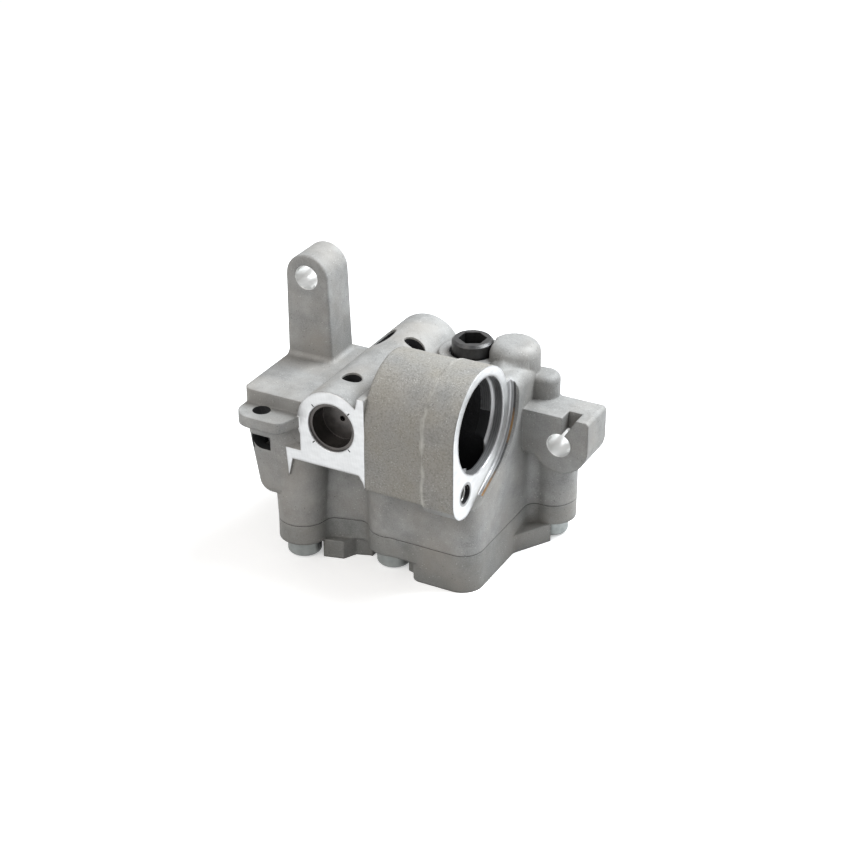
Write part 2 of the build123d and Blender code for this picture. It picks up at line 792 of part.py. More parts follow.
export_step(pump_housing.part, "parts/pump_housing.step")


# ---------------------------------------------------------------- pump cover
with BuildPart() as pump_cover:
    extrude(joint_outline(screw_pad_z).sketch, amount=cover_rim)
    with BuildSketch() as shelf_plan:
        add(joint_outline(0, shelf_reach).sketch_local)
        with Locations(right_screw):
            Circle(shelf_web_width / 2)
        with BuildLine():
            Polyline(
                (right_wall_x, shelf_flank_y),
                shelf_flank_end,
                right_screw,
                (right_wall_x, right_screw[1]),
                close=True,
            )
        make_face()
        offset(amount=web_blend, kind=Kind.ARC)
        offset(amount=-web_blend, kind=Kind.ARC)
        with BuildLine():
            Polyline(*shelf_cut, close=True)
        make_face(mode=Mode.SUBTRACT)
        with BuildLine():
            Polyline(
                (shelf_cut[-1][0], core_front_y - 1),
                (lower_box_left_x, core_front_y - 1),
                (lower_box_left_x, front_screw[1] - head_clearance_radius / 2),
                (shelf_cut[-1][0], front_screw[1]),
                close=True,
            )
        make_face(mode=Mode.SUBTRACT)
        with Locations(*screw_places):
            Circle(head_clearance_radius, mode=Mode.SUBTRACT)
        box_corner = shelf_plan.vertices().sort_by_distance((lower_box_left_x, core_front_y))[0]
        fillet(box_corner, radius=lower_box_corner)
    extrude(shelf_plan.sketch, amount=screw_pad_z)

    # Channels that join the chambers of the housing to the kidneys under the rotors.
    recess_z = joint_z - kidney_depth
    with BuildSketch(Plane.XY.offset(recess_z)) as inlet_channel:
        add(kidney_plan(0, inlet_angle).sketch_local)
        add(suction_chamber_plan(0).sketch_local)
        with Locations((right_wall_x - pocket_wall - chamber_width / 2, -kidney_radius - chamber_depth / 2)):
            Rectangle(chamber_width - chamber_corner_radius, chamber_depth)
    extrude(inlet_channel.sketch, amount=kidney_depth, mode=Mode.SUBTRACT)
    with BuildSketch(Plane.XY.offset(recess_z)) as outlet_channel:
        add(kidney_plan(0, outlet_angle).sketch_local)
        add(pressure_chamber_plan(0).sketch_local)
        with Locations(((pressure_chamber_x - kidney_radius) / 2, outlet_axis_y)):
            Rectangle(-pressure_chamber_x - kidney_radius, pressure_chamber_length / 2)
    extrude(outlet_channel.sketch, amount=kidney_depth, mode=Mode.SUBTRACT)

    # Lower bush bore, clearance holes for the screws, and dowel holes.
    cut_round(
        Plane.XY.offset(joint_z),
        (0, 0),
        lower_bush_radius + snug_gap,
        cover_thickness - lower_bush_floor,
    )
    for place in screw_places:
        cut_round(Plane.XY.offset(joint_z), place, screw_radius + screw_hole_gap, cover_rim)
    for place in dowel_places:
        cut_round(Plane.XY.offset(joint_z), place, dowel_radius + snug_gap, dowel_length / 2)
pump_cover.part.label = "pump_cover"
export_step(pump_cover.part, "parts/pump_cover.step")


# ---------------------------------------------------------------- rotor set
pin_axis_z = rotor_z + rotor_height - drive_pin_drop


def inner_rotor_profile():
    """Points of the inner rotor: offset from the path of the outer rotor's teeth round it."""
    points = []
    count = inner_lobes * points_per_lobe
    for index in range(count):
        turn = 2 * pi * index / count
        fast = (inner_lobes + 1) * turn
        slope_x = -lobe_pitch_radius * sin(turn) - eccentricity * (inner_lobes + 1) * sin(fast)
        slope_y = lobe_pitch_radius * cos(turn) + eccentricity * (inner_lobes + 1) * cos(fast)
        scale = (lobe_radius + mesh_gap) / hypot(slope_x, slope_y)
        x = lobe_pitch_radius * cos(turn) + eccentricity * cos(fast) - scale * slope_y
        y = lobe_pitch_radius * sin(turn) + eccentricity * sin(fast) + scale * slope_x
        points.append((x, y))
    return points


with BuildPart() as inner_rotor:
    with BuildSketch(Plane.XY.offset(rotor_z)) as inner_section:
        with BuildLine():
            Spline(*inner_rotor_profile(), periodic=True)
        make_face()
        Circle(shaft_radius + snug_gap, mode=Mode.SUBTRACT)
    extrude(inner_section.sketch, amount=rotor_height)
    slot_width = 2 * (drive_pin_radius + snug_gap)
    with BuildSketch(Plane.XY.offset(rotor_z + rotor_height)) as pin_slot:
        Rectangle(drive_pin_length + 2 * snug_gap, slot_width)
    extrude(
        pin_slot.sketch,
        amount=-drive_pin_drop - drive_pin_radius - snug_gap,
        mode=Mode.SUBTRACT,
    )
inner_rotor.part.label = "inner_rotor"
export_step(inner_rotor.part, "parts/inner_rotor.step")

with BuildPart() as outer_rotor:
    outer_root_radius = lobe_pitch_radius - lobe_radius + 2 * eccentricity
    with BuildSketch(Plane.XY.offset(rotor_z)) as outer_bore:
        with Locations(pocket_center):
            Circle(outer_root_radius)
            with PolarLocations(lobe_pitch_radius, inner_lobes + 1, start_angle=180):
                Circle(lobe_radius, mode=Mode.SUBTRACT)
        fillet(outer_bore.vertices(), radius=tooth_root_fillet)
    with BuildSketch(Plane.XY.offset(rotor_z)) as outer_section:
        with Locations(pocket_center):
            Circle(outer_rotor_radius)
        add(outer_bore.sketch_local, mode=Mode.SUBTRACT)
    extrude(outer_section.sketch, amount=rotor_height)
outer_rotor.part.label = "outer_rotor"
export_step(outer_rotor.part, "parts/outer_rotor.step")


# ---------------------------------------------------------------- drive shaft, pin and bushes
with BuildPart() as drive_shaft:
    journal_foot_z = lower_bush_floor + running_gap
    shoulder_z = rotor_z
    add_round(Plane.XY.offset(hub_top_z), (0, 0), shaft_radius, hub_top_z - shoulder_z)
    chamfer(drive_shaft.edges().sort_by(Axis.Z)[-1], length=hub_chamfer)
    add_round(Plane.XY.offset(shoulder_z), (0, 0), journal_radius, shoulder_z - journal_foot_z)
    chamfer(drive_shaft.edges().sort_by(Axis.Z)[0], length=hub_chamfer)
    with BuildSketch(Plane.XY.offset(hub_top_z)) as hexagon:
        RegularPolygon(hex_across_flats / 2, 6, major_radius=False, rotation=hex_turn)
    extrude(hexagon.sketch, amount=-hex_depth, mode=Mode.SUBTRACT)
    cut_round(
        Plane.YZ.offset(drive_pin_length / 2),
        (0, pin_axis_z),
        drive_pin_radius + snug_gap,
        drive_pin_length,
    )
drive_shaft.part.label = "drive_shaft"
export_step(drive_shaft.part, "parts/drive_shaft.step")

with BuildPart() as drive_pin:
    add_round(
        Plane.YZ.offset(drive_pin_length / 2), (0, pin_axis_z), drive_pin_radius, drive_pin_length
    )
drive_pin.part.label = "drive_pin"
export_step(drive_pin.part, "parts/drive_pin.step")

with BuildPart() as upper_bush:
    add_round(Plane.XY.offset(roof_z + upper_bush_length), (0, 0), upper_bush_radius, upper_bush_length)
    cut_round(
        Plane.XY.offset(roof_z + upper_bush_length),
        (0, 0),
        shaft_radius + running_gap,
        upper_bush_length,
    )
upper_bush.part.label = "upper_bush"
export_step(upper_bush.part, "parts/upper_bush.step")

with BuildPart() as lower_bush:
    add_round(Plane.XY.offset(joint_z), (0, 0), lower_bush_radius, lower_bush_length)
    cut_round(Plane.XY.offset(joint_z), (0, 0), journal_radius + running_gap, lower_bush_length)
lower_bush.part.label = "lower_bush"
export_step(lower_bush.part, "parts/lower_bush.step")


# ---------------------------------------------------------------- control valve
control_radius = valve_bore_radius - running_gap
cap_disc_y = valve_face_y + cap_depth

with BuildPart() as control_valve_cap:
    cap_rim_y = valve_face_y + cap_inset
    cap_rear_y = cap_disc_y + cap_wall
    cap_radius = valve_bore_radius - snug_gap
    rim_plane = Plane.XZ.offset(-cap_rim_y)
    add_round(rim_plane, valve_center, cap_radius, cap_rear_y - cap_rim_y)
    cut_round(rim_plane, valve_center, cap_radius - cap_wall, cap_disc_y - cap_rim_y)
    cut_round(rim_plane, valve_center, cap_vent_radius, cap_rear_y - cap_rim_y)
control_valve_cap.part.label = "control_valve_cap"
export_step(control_valve_cap.part, "parts/control_valve_cap.step")

with BuildPart() as control_piston:
    piston_front_y = valve_seat_y - snug_gap - piston_length
    piston_plane = Plane.XZ.offset(-piston_front_y)
    add_round(piston_plane, valve_center, control_radius, piston_length)
    cut_round(piston_plane, valve_center, control_radius - piston_wall, piston_pocket_depth)
    for groove in range(piston_grooves):
        groove_y = piston_front_y + piston_pocket_depth + (2 * groove + 1) * piston_groove_width
        with BuildSketch(Plane.XZ.offset(-groove_y)) as groove_ring:
            with Locations(valve_center):
                Circle(control_radius)
                Circle(control_radius - piston_groove_depth, mode=Mode.SUBTRACT)
        extrude(groove_ring.sketch, amount=-piston_groove_width, mode=Mode.SUBTRACT)
control_piston.part.label = "control_piston"
export_step(control_piston.part, "parts/control_piston.step")

control_spring_y = cap_rear_y + snug_gap
control_spring_end_y = piston_front_y + piston_pocket_depth - snug_gap
control_spring = coil_spring(
    (valve_axis_x, control_spring_y, valve_axis_z),
    control_spring_end_y - control_spring_y,
    control_coil_radius,
    control_wire_radius,
    control_coils,
)
control_spring.part.label = "control_spring"
export_step(control_spring.part, "parts/control_spring.step")


# ---------------------------------------------------------------- safety valve
with BuildPart() as safety_valve_seat:
    seat_plane = Plane.XZ.offset(-safety_seat_y)
    seat_front_y = safety_seat_y - safety_seat_length
    add_round(seat_plane, safety_center, safety_bore_radius - snug_gap, -safety_seat_length)
    cut_round(seat_plane, safety_center, safety_seat_bore_radius, -safety_seat_length)
safety_valve_seat.part.label = "safety_valve_seat"
export_step(safety_valve_seat.part, "parts/safety_valve_seat.step")

ball_offset = (safety_ball_radius**2 - safety_seat_bore_radius**2) ** 0.5
ball_y = seat_front_y - ball_offset - snug_gap
with BuildPart() as safety_valve_ball:
    with Locations((safety_axis_x, ball_y, safety_axis_z)):
        Sphere(safety_ball_radius)
safety_valve_ball.part.label = "safety_valve_ball"
export_step(safety_valve_ball.part, "parts/safety_valve_ball.step")

with BuildPart() as safety_valve_plug:
    add_round(
        Plane.XZ.offset(-left_block_rear_y),
        safety_center,
        safety_bore_radius - snug_gap,
        -safety_plug_length,
    )
    plug_drive = Plane.XZ.offset(-left_block_rear_y)
    with BuildSketch(plug_drive) as plug_socket:
        with Locations(safety_center):
            RegularPolygon(plug_socket_flats / 2, 6, major_radius=False)
    extrude(plug_socket.sketch, amount=safety_plug_length / 2, mode=Mode.SUBTRACT)
safety_valve_plug.part.label = "safety_valve_plug"
export_step(safety_valve_plug.part, "parts/safety_valve_plug.step")

spring_contact = (safety_ball_radius**2 - safety_coil_radius**2) ** 0.5
safety_spring_end_y = ball_y - spring_contact - safety_wire_radius / 2
safety_valve_spring = coil_spring(
    (safety_axis_x, safety_bore_front_y + snug_gap, safety_axis_z),
    safety_spring_end_y - safety_bore_front_y - snug_gap,
    safety_coil_radius,
    safety_wire_radius,
    safety_coils,
)
safety_valve_spring.part.label = "safety_valve_spring"
export_step(safety_valve_spring.part, "parts/safety_valve_spring.step")

with BuildPart() as gallery_plug:
    plug_outer_x = safety_axis_x - safety_bore_radius - gallery_plug_length
    add_round(
        Plane.YZ.offset(plug_outer_x + gallery_plug_length - snug_gap),
        (gallery_y, safety_axis_z),
        gallery_radius - snug_gap,
        gallery_plug_length,
    )
gallery_plug.part.label = "gallery_plug"
export_step(gallery_plug.part, "parts/gallery_plug.step")


# ---------------------------------------------------------------- outlet seal, dowels and screws
with BuildPart() as outlet_seal:
    seal_x = outlet_face_x + seal_groove_depth - outlet_seal_wire
    with BuildSketch(Plane.XY.offset(outlet_axis_z)) as seal_section:
        with Locations((seal_x, outlet_axis_y + outlet_seal_radius)):
            Circle(outlet_seal_wire)
    revolve(seal_section.sketch, axis=Axis((0, outlet_axis_y, outlet_axis_z), (1, 0, 0)))
outlet_seal.part.label = "outlet_seal"
export_step(outlet_seal.part, "parts/outlet_seal.step")

for dowel_name, place in (("front_dowel", front_dowel), ("rear_dowel", rear_dowel)):
    with BuildPart() as dowel:
        add_round(Plane.XY.offset(joint_z + dowel_length / 2), place, dowel_radius, dowel_length)
        chamfer(dowel.edges().filter_by(GeomType.CIRCLE), length=dowel_chamfer)
    dowel.part.label = dowel_name
    export_step(dowel.part, "parts/" + dowel_name + ".step")

for number, place in enumerate(screw_places, start=1):
    with BuildPart() as screw:
        add_round(
            Plane.XY.offset(joint_z + screw_engagement),
            place,
            screw_radius - snug_gap,
            screw_engagement + cover_rim,
        )
        add_round(Plane.XY.offset(screw_pad_z), place, screw_head_radius, screw_head_height)
        fillet(screw.edges().sort_by(Axis.Z)[0], radius=screw_head_fillet)
        with BuildSketch(Plane.XY.offset(screw_pad_z - screw_head_height)) as socket:
            with Locations(place):
                RegularPolygon(screw_socket_flats / 2, 6, major_radius=False)
        extrude(socket.sketch, amount=screw_socket_depth, mode=Mode.SUBTRACT)
    screw.part.label = "cover_screw_" + str(number)
    export_step(screw.part, "parts/" + screw.part.label + ".step")
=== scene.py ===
"""Looks of a cast engine oil pump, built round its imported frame."""

import logging
import math
from dataclasses import dataclass, field, replace
from enum import Enum
from typing import Any, Dict, List, Optional, Sequence, Tuple, Union

import bmesh
import bpy
import numpy as np
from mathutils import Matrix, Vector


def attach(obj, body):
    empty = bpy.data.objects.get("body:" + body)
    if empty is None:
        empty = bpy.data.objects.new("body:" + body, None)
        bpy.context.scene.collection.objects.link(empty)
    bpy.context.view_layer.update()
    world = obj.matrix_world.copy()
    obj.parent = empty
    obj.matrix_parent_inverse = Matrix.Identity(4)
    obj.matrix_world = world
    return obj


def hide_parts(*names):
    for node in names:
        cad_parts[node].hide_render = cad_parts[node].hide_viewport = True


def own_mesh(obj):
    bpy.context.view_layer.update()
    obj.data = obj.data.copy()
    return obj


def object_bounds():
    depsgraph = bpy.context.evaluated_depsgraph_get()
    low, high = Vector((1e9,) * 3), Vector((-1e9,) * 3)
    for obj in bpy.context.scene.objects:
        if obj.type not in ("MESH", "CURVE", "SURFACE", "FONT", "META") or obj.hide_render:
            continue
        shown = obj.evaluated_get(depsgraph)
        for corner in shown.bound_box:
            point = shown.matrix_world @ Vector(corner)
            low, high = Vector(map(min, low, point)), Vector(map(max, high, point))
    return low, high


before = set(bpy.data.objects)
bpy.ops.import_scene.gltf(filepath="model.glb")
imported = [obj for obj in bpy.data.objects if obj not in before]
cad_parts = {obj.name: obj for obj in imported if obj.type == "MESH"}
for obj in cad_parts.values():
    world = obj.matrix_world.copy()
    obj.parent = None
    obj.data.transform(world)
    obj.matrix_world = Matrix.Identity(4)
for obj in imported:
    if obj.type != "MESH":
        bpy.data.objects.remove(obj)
CAD_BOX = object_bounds()

log = logging.getLogger("oil_pump")
MM = 0.001
Vec3 = Tuple[float, float, float]
Colour = Tuple[float, float, float]


# ------------------------------------------------------------------ shader graphs
class Value:
    """One shader number that takes part in plain arithmetic."""

    def __init__(self, graph: "Graph", socket: Any) -> None:
        """Keep the graph and the socket that carries the number."""
        self.graph = graph
        self.socket = socket

    def _math(self, operation: str, *others: "Number") -> "Value":
        """Add one Math node.

        Args:
            operation: the node's operation.
            others: the numbers that go in after this one.

        Returns:
            The node's result.
        """
        return self.graph.math(operation, self, *others)

    def __add__(self, other: "Number") -> "Value":
        """Sum."""
        return self._math("ADD", other)

    __radd__ = __add__

    def __sub__(self, other: "Number") -> "Value":
        """Difference."""
        return self._math("SUBTRACT", other)

    def __rsub__(self, other: "Number") -> "Value":
        """Reflected difference."""
        return self.graph.math("SUBTRACT", other, self)

    def __mul__(self, other: "Number") -> "Value":
        """Product."""
        return self._math("MULTIPLY", other)

    __rmul__ = __mul__

    def __truediv__(self, other: "Number") -> "Value":
        """Quotient."""
        return self._math("DIVIDE", other)

    def __lt__(self, other: "Number") -> "Value":
        """1 where this is less, else 0."""
        return self._math("LESS_THAN", other)

    def __gt__(self, other: "Number") -> "Value":
        """1 where this is more, else 0."""
        return self._math("GREATER_THAN", other)

    def __abs__(self) -> "Value":
        """Size without sign."""
        return self._math("ABSOLUTE")

    def sine(self) -> "Value":
        """Sine of the number in radians."""
        return self._math("SINE")

    def capped(self) -> "Value":
        """The number held between 0 and 1."""
        return self._math("MAXIMUM", 0.0)._math("MINIMUM", 1.0)

    def either(self, other: "Number") -> "Value":
        """The larger of the two, which joins two masks."""
        return self._math("MAXIMUM", other)


Number = Union[Value, float]


class Graph:
    """A node tree that is written as plain expressions."""

    MIX_FIRST, MIX_SECOND, MIX_RESULT = 6, 7, 2     # colour sockets of the Mix node
    CREVICE_RAYS = 5
    BEVEL_RAYS = 6

    def __init__(self, tree: Any) -> None:
        """Take a node tree and empty it.

        Args:
            tree: the node tree of a material or a world.
        """
        self.tree = tree
        self.tree.nodes.clear()
        self._place: Optional[Any] = None

    def node(
        self,
        kind: str,
        settings: Optional[Dict[str, Any]] = None,
        inputs: Optional[Dict[Any, Any]] = None,
    ) -> Any:
        """Add a node.

        Args:
            kind: the node's type.
            settings: attributes, set first.
            inputs: socket name or number, with a value, a socket or a Value.

        Returns:
            The new node.
        """
        made = self.tree.nodes.new(kind)
        for key, value in (settings or {}).items():
            setattr(made, key, value)
        for key, value in (inputs or {}).items():
            self.feed(made.inputs[key], value)
        return made

    def feed(self, socket: Any, value: Any) -> None:
        """Link or set one input socket."""
        if isinstance(value, Value):
            value = value.socket
        if isinstance(value, bpy.types.NodeSocket):
            self.tree.links.new(value, socket)
        elif isinstance(value, tuple) and len(value) == 3 and socket.type == "RGBA":
            socket.default_value = (*value, 1.0)
        else:
            socket.default_value = value

    def math(self, operation: str, *terms: Number) -> Value:
        """Add a Math node.

        Args:
            operation: the node's operation.
            terms: its inputs in order.

        Returns:
            Its result.
        """
        inputs = dict(enumerate(terms))
        made = self.node("ShaderNodeMath", {"operation": operation}, inputs)
        return Value(self, made.outputs[0])

    def coordinates(self) -> Any:
        """The Texture Coordinate node, made once."""
        if self._place is None:
            self._place = self.node("ShaderNodeTexCoord")
        return self._place

    def seen_rays(self) -> Value:
        """1 for the rays that show a surface, be it straight, mirrored or through glass."""
        path = self.node("ShaderNodeLightPath")
        seen = Value(self, path.outputs["Is Camera Ray"])
        for ray in ("Is Glossy Ray", "Is Transmission Ray"):
            seen = seen.either(Value(self, path.outputs[ray]))
        return seen

    def axes(self, output: str) -> Tuple[Value, Value, Value]:
        """Split an output of the Texture Coordinate node.

        Args:
            output: "Object" for the place in metres, or "Normal".

        Returns:
            Its x, y and z.
        """
        split = self.node("ShaderNodeSeparateXYZ", inputs={0: self.coordinates().outputs[output]})
        return tuple(Value(self, split.outputs[i]) for i in range(3))

    def noise(self, size: float, detail: float = 3.0, stretch: Vec3 = (1.0, 1.0, 1.0)) -> Value:
        """Noise whose blotches are about as large as the size given.

        Args:
            size: width of a blotch in metres.
            detail: finer layers on top.
            stretch: how many times the pattern repeats along each axis.

        Returns:
            A number round 0.5.
        """
        place = self.node(
            "ShaderNodeMapping",
            inputs={"Vector": self.coordinates().outputs["Object"], "Scale": stretch},
        )
        made = self.node(
            "ShaderNodeTexNoise",
            inputs={"Vector": place.outputs[0], "Scale": 1.0 / size, "Detail": detail},
        )
        return Value(self, made.outputs["Fac"])

    def cells(self, size: float) -> Value:
        """Distance from the nearest of many scattered points, for pits and grains."""
        made = self.node(
            "ShaderNodeTexVoronoi",
            inputs={"Vector": self.coordinates().outputs["Object"], "Scale": 1.0 / size},
        )
        return Value(self, made.outputs["Distance"])

    def crevice(self, reach: float) -> Value:
        """How closed in the surface is: 0 in the open, near 1 at the bottom of a narrow gap.

        Args:
            reach: how far off other surfaces still count, in metres.
        """
        settings = {"samples": self.CREVICE_RAYS}
        made = self.node("ShaderNodeAmbientOcclusion", settings, {"Distance": reach})
        return 1.0 - Value(self, made.outputs["AO"])

    def blend(self, factor: Number, first: Any, second: Any) -> Any:
        """Mix two colours.

        Args:
            factor: 0 gives the first and 1 the second.
            first: a colour or a colour socket.
            second: the same.

        Returns:
            The colour socket.
        """
        inputs = {0: factor, self.MIX_FIRST: first, self.MIX_SECOND: second}
        return self.node("ShaderNodeMix", {"data_type": "RGBA"}, inputs).outputs[self.MIX_RESULT]

    def relief(self, height: Value, depth: float, radius: float = 0.0) -> Any:
        """Bump from a height, over rounded edges if a radius is given.

        Args:
            height: height of the surface, in depths.
            depth: how deep one unit of height is, in metres.
            radius: radius of the rounding along the edges, in metres.

        Returns:
            The normal socket.
        """
        inputs = {"Height": height, "Distance": depth, "Strength": 1.0}
        if radius > 0:
            settings = {"samples": self.BEVEL_RAYS}
            rounded = self.node("ShaderNodeBevel", settings, {"Radius": radius})
            inputs["Normal"] = rounded.outputs[0]
        return self.node("ShaderNodeBump", inputs=inputs).outputs[0]


class MaterialGraph(Graph):
    """The node tree of one material."""

    def __init__(self, name: str) -> None:
        """Start a material with nothing but its output.

        Args:
            name: the material's name.
        """
        self.material = bpy.data.materials.new(name)
        self.material.use_nodes = True
        super().__init__(self.material.node_tree)
        self.output = self.node("ShaderNodeOutputMaterial")

    def finish(self, shader: Any) -> bpy.types.Material:
        """Show a shader on the surface and give back the material."""
        self.feed(self.output.inputs["Surface"], shader.outputs[0])
        return self.material

    def surface(self, **inputs: Any) -> bpy.types.Material:
        """Finish with a principled shader.

        Args:
            inputs: its sockets, spaces written as underscores.

        Returns:
            The finished material.
        """
        named = {key.replace("_", " "): value for key, value in inputs.items()}
        return self.finish(self.node("ShaderNodeBsdfPrincipled", inputs=named))


class Axis(Enum):
    """An axis of the pump's frame."""

    X = 0
    Y = 1
    Z = 2


@dataclass(frozen=True)
class MilledFace:
    """A flat face left bright by the cutter."""

    axis: Axis
    side: int
    level: float
    high: Vec3 = (math.inf, math.inf, math.inf)
    slack: float = 0.06 * MM
    least_facing: float = 0.9

    def mask(self, place: Sequence[Value], facing: Sequence[Value]) -> Value:
        """Where this face is.

        Args:
            place: x, y and z of the surface.
            facing: x, y and z of its normal.

        Returns:
            1 on the face, else 0.
        """
        k = self.axis.value
        facing_it = facing[k] * self.side > self.least_facing
        result = (abs(place[k] - self.level) < self.slack) * facing_it
        for i in range(3):
            if math.isfinite(self.high[i]):
                result = result * (place[i] < self.high[i])
        return result


@dataclass(frozen=True)
class Bore:
    """A machined round hole along one axis."""

    axis: Axis
    centre: Tuple[float, float]
    radius: float
    start: float
    end: float
    slack: float = 0.08 * MM

    def distance(self, place: Sequence[Value]) -> Value:
        """How far the surface is from the hole's axis, in metres."""
        graph = place[0].graph
        across = [i for i in range(3) if i != self.axis.value]
        first = place[across[0]] - self.centre[0]
        second = place[across[1]] - self.centre[1]
        return graph.math("SQRT", first * first + second * second)

    def mask(self, place: Sequence[Value]) -> Value:
        """Where the wall of this hole is: nearer its axis than the radius, between its ends."""
        along = place[self.axis.value]
        near = self.distance(place) < self.radius + self.slack
        return near * (along > self.start) * (along < self.end)


@dataclass(frozen=True)
class Zone:
    """A box of space, for a finish that holds only there."""

    low: Vec3
    high: Vec3

    def mask(self, place: Sequence[Value]) -> Value:
        """1 inside the box, else 0."""
        result = place[0].graph.math("ADD", 1.0, 0.0)
        for i in range(3):
            result = result * (place[i] > self.low[i]) * (place[i] < self.high[i])
        return result


@dataclass(frozen=True)
class Stakes:
    """Four punch marks on a face, on the diagonals round a hole along Y."""

    centre: Tuple[float, float]
    inner: float
    outer: float
    width: float = 0.32 * MM

    def mask(self, place: Sequence[Value]) -> Value:
        """Where the marks are."""
        across = abs(place[0] - self.centre[0])
        up = abs(place[2] - self.centre[1])
        distance = place[0].graph.math("SQRT", across * across + up * up)
        return (abs(across - up) < self.width) * (distance > self.inner) * (distance < self.outer)


@dataclass(frozen=True)
class Slit:
    """The narrow slit at the rim of a pear-shaped relief milled into a wall along X.

    The rim is the tight band round a large circle and a smaller one below it.
    """

    upper: Tuple[float, float]
    upper_radius: float
    lower: Tuple[float, float]
    lower_radius: float
    start: float
    end: float
    half_width: float = 0.42 * MM

    def mask(self, place: Sequence[Value]) -> Value:
        """Where the slit is.

        The place is turned so that one axis runs from the upper to the lower centre.  Level says
        which stretch of the rim is nearest: the upper arc below 0, the lower arc past the end of
        the straight flank, or the flank between them.

        Args:
            place: x, y and z of the surface.

        Returns:
            1 in the slit, else 0.
        """
        g = place[0].graph
        span = math.dist(self.upper, self.lower)
        down = [(b - a) / span for a, b in zip(self.upper, self.lower)]
        slope = (self.upper_radius - self.lower_radius) / span
        lean = math.sqrt(1.0 - slope * slope)
        first = place[1] - self.upper[0]
        second = place[2] - self.upper[1]
        along = first * down[0] + second * down[1]
        across = abs(first * down[1] - second * down[0])
        level = along * lean - across * slope
        arc = g.math("SQRT", along * along + across * across) - self.upper_radius
        rest = along - span
        foot = g.math("SQRT", rest * rest + across * across) - self.lower_radius
        flank = across * lean + along * slope - self.upper_radius
        on_arc = level < 0.0
        on_foot = level > lean * span
        away = arc * on_arc + foot * on_foot + flank * (1.0 - on_arc) * (1.0 - on_foot)
        inside = (place[0] > self.start) * (place[0] < self.end)
        return (abs(away) < self.half_width) * inside * (place[1] > self.upper[0])


@dataclass(frozen=True)
class Flecks:
    """Small round marks that come in patches."""

    spacing: float
    reach: float                 # of a mark, as a share of the spacing
    patch: float
    patch_level: float
    strength: float
    colour: Colour
    patch_detail: float = 2.0

    def mask(self, graph: Graph) -> Value:
        """1 on the marks, else 0."""
        patches = graph.noise(self.patch, self.patch_detail) > self.patch_level
        return (graph.cells(self.spacing) < self.reach) * patches


@dataclass(frozen=True)
class Cloud:
    """A soft pattern: noise, stretched, then made steeper and shifted."""

    size: float
    detail: float
    gain: float
    shift: float
    stretch: Vec3 = (1.0, 1.0, 1.0)

    def level(self, graph: Graph) -> Value:
        """The pattern, not yet held between 0 and 1."""
        return graph.noise(self.size, self.detail, self.stretch) * self.gain + self.shift


@dataclass(frozen=True)
class Wear:
    """Light rubs along a parting line across X, and scattered over the skin beside it."""

    level: float
    reach: float = 1.5 * MM
    colour: Colour = (0.66, 0.65, 0.61)
    strength: float = 0.65
    edge: Cloud = Cloud(3.0 * MM, 5.0, 2.8, -1.75, (1.0, 0.5, 0.5))
    rub: Cloud = Cloud(1.3 * MM, 3.0, 5.0, -3.1, (2.5, 0.6, 0.6))
    rub_patch: Cloud = Cloud(8.0 * MM, 2.0, 4.0, -1.9)
    rub_colour: Colour = (0.64, 0.63, 0.60)
    rub_strength: float = 0.45

    def over(self, colour: Any, raw: Value, place: Sequence[Value]) -> Any:
        """Lay the wear over a colour.

        Args:
            colour: the colour socket below.
            raw: where the skin can be worn.
            place: x, y and z of the surface.

        Returns:
            The new colour socket.
        """
        g = raw.graph
        near = 1.0 - abs(place[0] - self.level) * (1.0 / self.reach)
        edge = (near + self.edge.level(g)).capped()
        colour = g.blend(raw * edge * self.strength, colour, self.colour)
        rubs = self.rub.level(g).capped() * self.rub_patch.level(g).capped()
        return g.blend(raw * rubs * self.rub_strength, colour, self.rub_colour)


@dataclass(frozen=True)
class SlitShadeAndStain:
    """Painted shade and dark oil in a slit, gone golden round some heights."""

    slit: Slit
    levels: Tuple[float, ...]
    reach: float = 5.0 * MM
    spread: Cloud = Cloud(2.0 * MM, 3.0, 1.0, 0.75)
    least_cover: float = 0.6
    grain_cover: float = 0.5
    # painted shade of the narrow slit, with dark oil
    oil: Colour = (0.045, 0.045, 0.045)
    gold: Colour = (0.33, 0.17, 0.05)

    def over(self, colour: Any, grain: Value, place: Sequence[Value]) -> Any:
        """Lay the painted shade and the stain over a colour.

        Args:
            colour: the colour socket below.
            grain: the fine grain of the casting, which breaks the stain up.
            place: x, y and z of the surface.

        Returns:
            The new colour socket.
        """
        g = grain.graph
        spread = self.spread.level(g)
        rust = joined([spread - abs(place[2] - z) * (1.0 / self.reach) for z in self.levels], g)
        # Painted shade: the slit is near black, turning to a golden stain round the given heights.
        stain = g.blend(rust.capped(), self.oil, self.gold)
        cover = (self.least_cover + grain * self.grain_cover).capped()
        return g.blend(self.slit.mask(place) * cover, colour, stain)


def joined(masks: List[Value], graph: Graph) -> Value:
    """Join masks into one.

    Args:
        masks: any number of masks.
        graph: the graph to work in.

    Returns:
        Their union.
    """
    union = graph.math("ADD", 0.0, 0.0)
    for mask in masks:
        union = union.either(mask)
    return union


